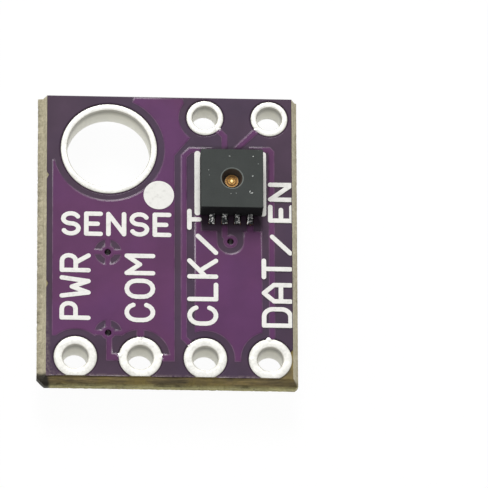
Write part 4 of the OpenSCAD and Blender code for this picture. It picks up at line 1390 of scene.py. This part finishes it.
# Thickness of the dust that lies on the package, which stays within the CAD's height
DUST = 0.008


def lathe(profile, centre, steps=96):
    """Points and faces of a closed solid of revolution, from (radius, height) pairs."""
    verts, faces = [], []
    count = len(profile)
    for s in range(steps):
        angle = 2 * math.pi * s / steps
        for r, z in profile:
            verts.append((centre.x + r * math.cos(angle), centre.y + r * math.sin(angle), z))
    for s in range(steps):
        t = (s + 1) % steps
        for k in range(count - 1):
            faces.append((s * count + k, t * count + k, t * count + k + 1, s * count + k + 1))
    faces.append(tuple(s * count for s in reversed(range(steps))))
    faces.append(tuple(s * count + count - 1 for s in range(steps)))
    return verts, faces


class SENSORBOARD_OT_sensor_package(Operator):
    """Moulds the sensor's package round its cavity, with a few specks of dust on it"""
    bl_idname = "sensorboard.sensor_package"
    bl_label = "Sensor package"

    def execute(self, context):
        sizes = context.scene.sensor_board_sensor
        material = moulding_material()
        bm = bmesh.new()
        bmesh.ops.create_cube(bm, size=1.0)
        size = SENSOR_HIGH - SENSOR_LOW - Vector((0, 0, DUST))
        bmesh.ops.scale(bm, vec=size, verts=bm.verts)
        bmesh.ops.translate(bm, vec=SENSOR_MIDDLE - Vector((0, 0, DUST / 2)), verts=bm.verts)
        bmesh.ops.bevel(bm, geom=bm.edges[:], offset=sizes.edge / MM, segments=3, profile=0.5,
                        affect="EDGES")
        body = from_bmesh("sensor_moulding", bm, material)
        floor_z = box_mm("sensing_film")[0].z
        mouth, lean, bevel = sizes.mouth / MM, sizes.lean / MM, sizes.bevel / MM
        top = SENSOR_HIGH.z - DUST
        profile = [(mouth - lean - 0.03, floor_z), (mouth - lean, floor_z + 0.03),
                   (mouth - 0.004, top - bevel), (mouth + bevel * 0.3, top - bevel * 0.35),
                   (mouth + bevel, top), (mouth + bevel, top + 0.3)]
        verts, faces = lathe(profile, SENSOR_MIDDLE)
        cutter = add_piece("cavity_cutter", verts, faces, material)
        carve(body, cutter)
        crease_edges(body, 30)
        level = body.modifiers.new("level faces", "WEIGHTED_NORMAL")
        level.keep_sharp = True
        settle(body, "moulding", "sensor_body")
        for node in ("sensor_leads", "sensor_centre_pad"):
            dress(node, tin_material("tinned leads", 0.06))
        dust = dust_specks()
        settle(dust, "moulding")
        return {"FINISHED"}


def carve(body, cutter):
    """Takes the cutter out of the body and deletes it."""
    cut = body.modifiers.new("cavity", "BOOLEAN")
    cut.operation = "DIFFERENCE"
    cut.solver = "EXACT"
    cut.object = cutter
    bpy.context.view_layer.update()
    graph = bpy.context.evaluated_depsgraph_get()
    result = bpy.data.meshes.new_from_object(body.evaluated_get(graph))
    body.modifiers.clear()
    body.data = result
    bpy.data.objects.remove(cutter)


def dust_specks():
    """Small flat flakes that lie on the package's top, each an uneven many-sided chip."""
    rng = random.Random(7)
    top = SENSOR_HIGH.z
    mx, my = SENSOR_MIDDLE.x, SENSOR_MIDDLE.y
    # Place from the package's middle, length, width and turn of each speck
    specks = [
        (0.81, 0.10, 0.045, 0.030, 20), (0.83, 0.93, 0.035, 0.025, 60),
        (0.70, -0.56, 0.055, 0.018, 75), (0.77, -0.62, 0.065, 0.022, 10),
        (-0.10, 0.93, 0.040, 0.012, 5), (-0.92, 0.33, 0.022, 0.016, 40),
        (-0.05, -0.66, 0.020, 0.014, 80), (0.16, -0.64, 0.022, 0.012, 30),
        (1.03, 0.62, 0.024, 0.014, 15), (-0.90, 0.12, 0.016, 0.012, 70),
    ]
    verts, faces = [], []
    for x, y, long, wide, turn in specks:
        first = len(verts)
        sides = 9
        spin = math.radians(turn)
        for z, shrink in ((top - DUST * 1.2, 1.0), (top - 0.001, 0.7)):
            for k in range(sides):
                a = 2 * math.pi * k / sides
                u = math.cos(a) * long * shrink * rng.uniform(0.75, 1.15)
                v = math.sin(a) * wide * shrink * rng.uniform(0.75, 1.15)
                verts.append((mx + x + u * math.cos(spin) - v * math.sin(spin),
                              my + y + u * math.sin(spin) + v * math.cos(spin), z))
        low = [first + k for k in range(sides)]
        high = [first + sides + k for k in range(sides)]
        faces.append(tuple(reversed(low)))
        faces.append(tuple(high))
        for k in range(sides):
            n = (k + 1) % sides
            faces.append((low[k], low[n], high[n], high[k]))
    return add_piece("dust_on_sensor", verts, faces, dust_material())


class SENSORBOARD_OT_sensing_element(Operator):
    """Finishes the chip at the cavity's floor and the film on it"""
    bl_idname = "sensorboard.sensing_element"
    bl_label = "Sensing element"

    def execute(self, context):
        dress("sensor_die", silicon_material())
        dress("sensing_film", film_material())
        soften("sensing_film", 0.004)
        return {"FINISHED"}


def solder_blob(x, edge_y, out, width, reach, layer, climb, seed, verts, faces):
    """Adds a wetted solder joint: it climbs the lead's end and thins out towards the pad's end."""
    across, along = 14, 16
    rows = []
    for j in range(along + 1):
        v = j / along
        row = []
        for i in range(across + 1):
            u = -1 + 2 * i / across
            side = math.sqrt(max(1 - abs(u) ** 3.0, 0.0))
            slope = (1 - v) ** 2.2
            height = 0.012 + (layer + climb) * slope * side + 0.03 * side * math.sqrt(max(1 - v, 0))
            lump = noise.noise(Vector((x * 3 + u * 1.7, seed + v * 2.6, seed * 0.7)))
            height *= 1 + 0.45 * lump
            height = max(min(height, layer + climb), 0.006)
            half = width / 2 * (1 - 0.10 * v ** 3)
            px = x + u * half
            py = edge_y + out * reach * v
            row.append((px, py, FOIL_TOP + height * (1 if 0 < j < along or j == 0 else 0.3)))
        rows.append(row)
    first = len(verts)
    count = across + 1
    for row in rows:
        verts.extend(row)
    base = len(verts)
    for row in rows:
        verts.extend((px, py, FOIL_TOP) for px, py, _ in row)
    total = along + 1

    def at(j, i, low=False):
        return (base if low else first) + j * count + i

    for j in range(along):
        for i in range(across):
            faces.append((at(j, i), at(j, i + 1), at(j + 1, i + 1), at(j + 1, i)))
            faces.append((at(j, i, True), at(j + 1, i, True), at(j + 1, i + 1, True),
                          at(j, i + 1, True)))
    for j in range(along):
        faces.append((at(j, 0), at(j + 1, 0), at(j + 1, 0, True), at(j, 0, True)))
        faces.append((at(j, across), at(j, across, True), at(j + 1, across, True),
                      at(j + 1, across)))
    for i in range(across):
        faces.append((at(0, i), at(0, i, True), at(0, i + 1, True), at(0, i + 1)))
        faces.append((at(total - 1, i), at(total - 1, i + 1), at(total - 1, i + 1, True),
                      at(total - 1, i, True)))


class SENSORBOARD_OT_sensor_solder(Operator):
    """Wets the sensor's leads and centre pad with solder"""
    bl_idname = "sensorboard.sensor_solder"
    bl_label = "Sensor solder"

    def execute(self, context):
        low, high = box_mm("sensor_leads")
        solder_low, solder_high = box_mm("sensor_solder")
        width = 0.25
        reach = high.y + (solder_high.y - high.y) - SENSOR_HIGH.y
        layer = low.z - FOIL_TOP
        climb = solder_high.z - low.z
        xs = [low.x + width / 2 + i * (high.x - low.x - width) / 3 for i in range(4)]
        verts, faces = [], []
        for k, x in enumerate(xs):
            solder_blob(x, SENSOR_LOW.y, -1, width, reach, layer, climb, 1.7 + k, verts, faces)
            solder_blob(x, SENSOR_HIGH.y, 1, width, reach, layer, climb, 8.3 + k, verts, faces)
        pad_low, pad_high = box_mm("sensor_centre_pad")
        first = len(verts)
        for z in (FOIL_TOP, low.z):
            for px, py in ((pad_low.x, pad_low.y), (pad_high.x, pad_low.y),
                           (pad_high.x, pad_high.y), (pad_low.x, pad_high.y)):
                verts.append((px, py, z))
        for face in ((3, 2, 1, 0), (4, 5, 6, 7), (0, 1, 5, 4), (1, 2, 6, 5), (2, 3, 7, 6),
                     (3, 0, 4, 7)):
            faces.append(tuple(first + i for i in face))
        for x in xs:
            for y0, y1 in ((SENSOR_LOW.y, SENSOR_LOW.y + 0.35), (SENSOR_HIGH.y - 0.35, SENSOR_HIGH.y)):
                first = len(verts)
                for z in (FOIL_TOP, low.z):
                    for px, py in ((x - width / 2, y0), (x + width / 2, y0),
                                   (x + width / 2, y1), (x - width / 2, y1)):
                        verts.append((px, py, z))
                for face in ((3, 2, 1, 0), (4, 5, 6, 7), (0, 1, 5, 4), (1, 2, 6, 5),
                             (2, 3, 7, 6), (3, 0, 4, 7)):
                    faces.append(tuple(first + i for i in face))
        piece = add_piece("sensor_solder_joints", verts, faces, solder_material())
        bm = bmesh.new()
        bm.from_mesh(piece.data)
        bmesh.ops.recalc_face_normals(bm, faces=bm.faces)
        bm.to_mesh(piece.data)
        bm.free()
        crease_edges(piece, 60)
        settle(piece, "solder", "sensor_solder")
        return {"FINISHED"}


# Chips on the back

class SENSORBOARD_OT_back_chips(Operator):
    """Finishes the three resistors, the capacitor and their solder on the back"""
    bl_idname = "sensorboard.back_chips"
    bl_label = "Back chips"

    def execute(self, context):
        alumina = ceramic_material("resistor ceramic", screen(236, 234, 226), screen(214, 211, 200))
        brown = ceramic_material("capacitor ceramic", screen(176, 148, 112), screen(146, 118, 84))
        glass = glass_coat_material()
        caps = tin_material("tinned caps", 0.05)
        solder = solder_material("clean solder", (168, 169, 166), (204, 205, 201))
        for name in ("clock", "data", "address"):
            dress(name + "_resistor_body", alumina)
            dress(name + "_resistor_coat", glass)
            dress(name + "_resistor_caps", caps)
            soften(name + "_resistor_body", 0.01)
            soften(name + "_resistor_coat", 0.008)
            soften(name + "_resistor_caps", 0.012)
        dress("capacitor_body", brown)
        dress("capacitor_caps", caps)
        soften("capacitor_body", 0.012)
        soften("capacitor_caps", 0.014)
        dress("chip_solder", solder)
        soften("chip_solder", 0.006)
        return {"FINISHED"}


# The stage

def area_lamp(name, place, aim, size, power):
    data = bpy.data.lights.new(name, "AREA")
    data.shape = "SQUARE"
    data.size = size
    data.energy = power
    lamp = bpy.data.objects.new(name, data)
    lamp.location = place
    lamp.rotation_euler = (Vector(aim) - Vector(place)).to_track_quat("-Z", "Y").to_euler()
    bpy.context.scene.collection.objects.link(lamp)
    return lamp


def floor_material():
    """A pale floor that shows white to the camera and keeps a faint shadow."""
    material = bpy.data.materials.new("pale floor")
    material.use_nodes = True
    tree = material.node_tree
    tree.nodes.clear()
    output = tree.nodes.new("ShaderNodeOutputMaterial")
    paint = tree.nodes.new("ShaderNodeBsdfDiffuse")
    paint.inputs["Color"].default_value = (1, 1, 1, 1)
    glow = tree.nodes.new("ShaderNodeEmission")
    path = tree.nodes.new("ShaderNodeLightPath")
    seen = tree.nodes.new("ShaderNodeMath")
    seen.operation = "MAXIMUM"
    seen_too = tree.nodes.new("ShaderNodeMath")
    seen_too.operation = "MAXIMUM"
    share = tree.nodes.new("ShaderNodeMath")
    share.operation = "MULTIPLY"
    share.inputs[1].default_value = 0.96
    blend = tree.nodes.new("ShaderNodeMixShader")
    tree.links.new(path.outputs["Is Camera Ray"], seen.inputs[0])
    tree.links.new(path.outputs["Is Glossy Ray"], seen.inputs[1])
    tree.links.new(seen.outputs[0], seen_too.inputs[0])
    tree.links.new(path.outputs["Is Transmission Ray"], seen_too.inputs[1])
    tree.links.new(seen_too.outputs[0], share.inputs[0])
    tree.links.new(share.outputs[0], blend.inputs["Fac"])
    tree.links.new(paint.outputs[0], blend.inputs[1])
    tree.links.new(glow.outputs[0], blend.inputs[2])
    tree.links.new(blend.outputs[0], output.inputs["Surface"])
    return material


def studio_floor():
    """A round floor with a gentle rise far behind, so that it has no edge in view."""
    rings, spokes = 24, 64
    verts = [(0.0, 0.0, 0.0)]
    faces = []
    for r in range(1, rings + 1):
        radius = 0.9 * (r / rings) ** 1.5
        lift = 0.25 * smooth((radius - 0.55) / 0.35)
        for s in range(spokes):
            a = 2 * math.pi * s / spokes
            verts.append((radius * math.cos(a), radius * math.sin(a), lift))
    for s in range(spokes):
        faces.append((0, 1 + s, 1 + (s + 1) % spokes))
    for r in range(rings - 1):
        for s in range(spokes):
            a = 1 + r * spokes + s
            b = 1 + r * spokes + (s + 1) % spokes
            faces.append((a, a + spokes, b + spokes, b))
    mesh = bpy.data.meshes.new("studio_floor")
    mesh.from_pydata(verts, [], faces)
    mesh.polygons.foreach_set("use_smooth", [True] * len(mesh.polygons))
    mesh.materials.append(floor_material())
    floor = bpy.data.objects.new("studio_floor", mesh)
    bpy.context.scene.collection.objects.link(floor)


# The camera stands far off with a long lens, as the photograph's perspective asks
CAMERA_TURNS = (("Z", 0.261), ("X", -21.711), ("Y", 3.278))
CAMERA_PLACE = (-0.013195, -0.112865, 0.284355)
CAMERA_LENS = 572.5


class SENSORBOARD_OT_stage(Operator):
    """Sets the floor, the light and the camera"""
    bl_idname = "sensorboard.stage"
    bl_label = "Stage"

    def execute(self, context):
        scene = context.scene
        scene.view_settings.view_transform = "Standard"
        studio_floor()
        world = bpy.data.worlds.new("studio")
        world.use_nodes = True
        scene.world = world
        back = world.node_tree.nodes["Background"]
        back.inputs["Color"].default_value = (1, 1, 1, 1)
        back.inputs["Strength"].default_value = 0.43
        area_lamp("key", (-0.02, 0.345, 0.345), (0, 0, 0), 0.17, 1.95)
        area_lamp("fill", (-0.25, -0.10, 0.33), (0, 0, 0), 0.25, 0.32)
        data = bpy.data.cameras.new("camera")
        data.lens = CAMERA_LENS
        data.sensor_width = 36
        data.clip_start = 0.01
        data.clip_end = 10
        camera = bpy.data.objects.new("camera", data)
        turn = Matrix.Identity(3)
        for axis, degrees in CAMERA_TURNS:
            turn = turn @ Matrix.Rotation(math.radians(degrees), 3, axis)
        camera.matrix_world = Matrix.Translation(CAMERA_PLACE) @ turn.transposed().to_4x4()
        scene.collection.objects.link(camera)
        scene.camera = camera
        return {"FINISHED"}


class SENSORBOARD_PT_pieces(Panel):
    """Lists the pieces of the board and the stage"""
    bl_idname = "SENSORBOARD_PT_pieces"
    bl_label = "Sensor board"
    bl_space_type = "VIEW_3D"
    bl_region_type = "UI"
    bl_category = "Sensor board"

    def draw(self, context):
        for name in GROUPS:
            group = getattr(context.scene, "sensor_board_" + name)
            box = self.layout.box()
            for prop in group.bl_rna.properties:
                if prop.identifier not in ("rna_type", "name"):
                    box.prop(group, prop.identifier)
        column = self.layout.column()
        for operator in OPERATORS:
            column.operator(operator.bl_idname)


OPERATORS = (
    SENSORBOARD_OT_laminate,
    SENSORBOARD_OT_solder_mask,
    SENSORBOARD_OT_copper,
    SENSORBOARD_OT_tinned_rings,
    SENSORBOARD_OT_white_marks,
    SENSORBOARD_OT_lettering,
    SENSORBOARD_OT_sensor_package,
    SENSORBOARD_OT_sensing_element,
    SENSORBOARD_OT_sensor_solder,
    SENSORBOARD_OT_back_chips,
    SENSORBOARD_OT_stage,
)


def register():
    for group in GROUPS.values():
        bpy.utils.register_class(group)
    for operator in OPERATORS:
        bpy.utils.register_class(operator)
    bpy.utils.register_class(SENSORBOARD_PT_pieces)
    for name, group in GROUPS.items():
        setattr(bpy.types.Scene, "sensor_board_" + name, PointerProperty(type=group))


def unregister():
    for name in GROUPS:
        delattr(bpy.types.Scene, "sensor_board_" + name)
    bpy.utils.unregister_class(SENSORBOARD_PT_pieces)
    for operator in reversed(OPERATORS):
        bpy.utils.unregister_class(operator)
    for group in reversed(list(GROUPS.values())):
        bpy.utils.unregister_class(group)


def main():
    register()
    bpy.ops.sensorboard.laminate()
    bpy.ops.sensorboard.solder_mask()
    bpy.ops.sensorboard.copper()
    bpy.ops.sensorboard.tinned_rings()
    bpy.ops.sensorboard.white_marks()
    bpy.ops.sensorboard.lettering()
    bpy.ops.sensorboard.sensor_package()
    bpy.ops.sensorboard.sensing_element()
    bpy.ops.sensorboard.sensor_solder()
    bpy.ops.sensorboard.back_chips()
    bpy.ops.sensorboard.stage()


if __name__ == "__main__":
    main()
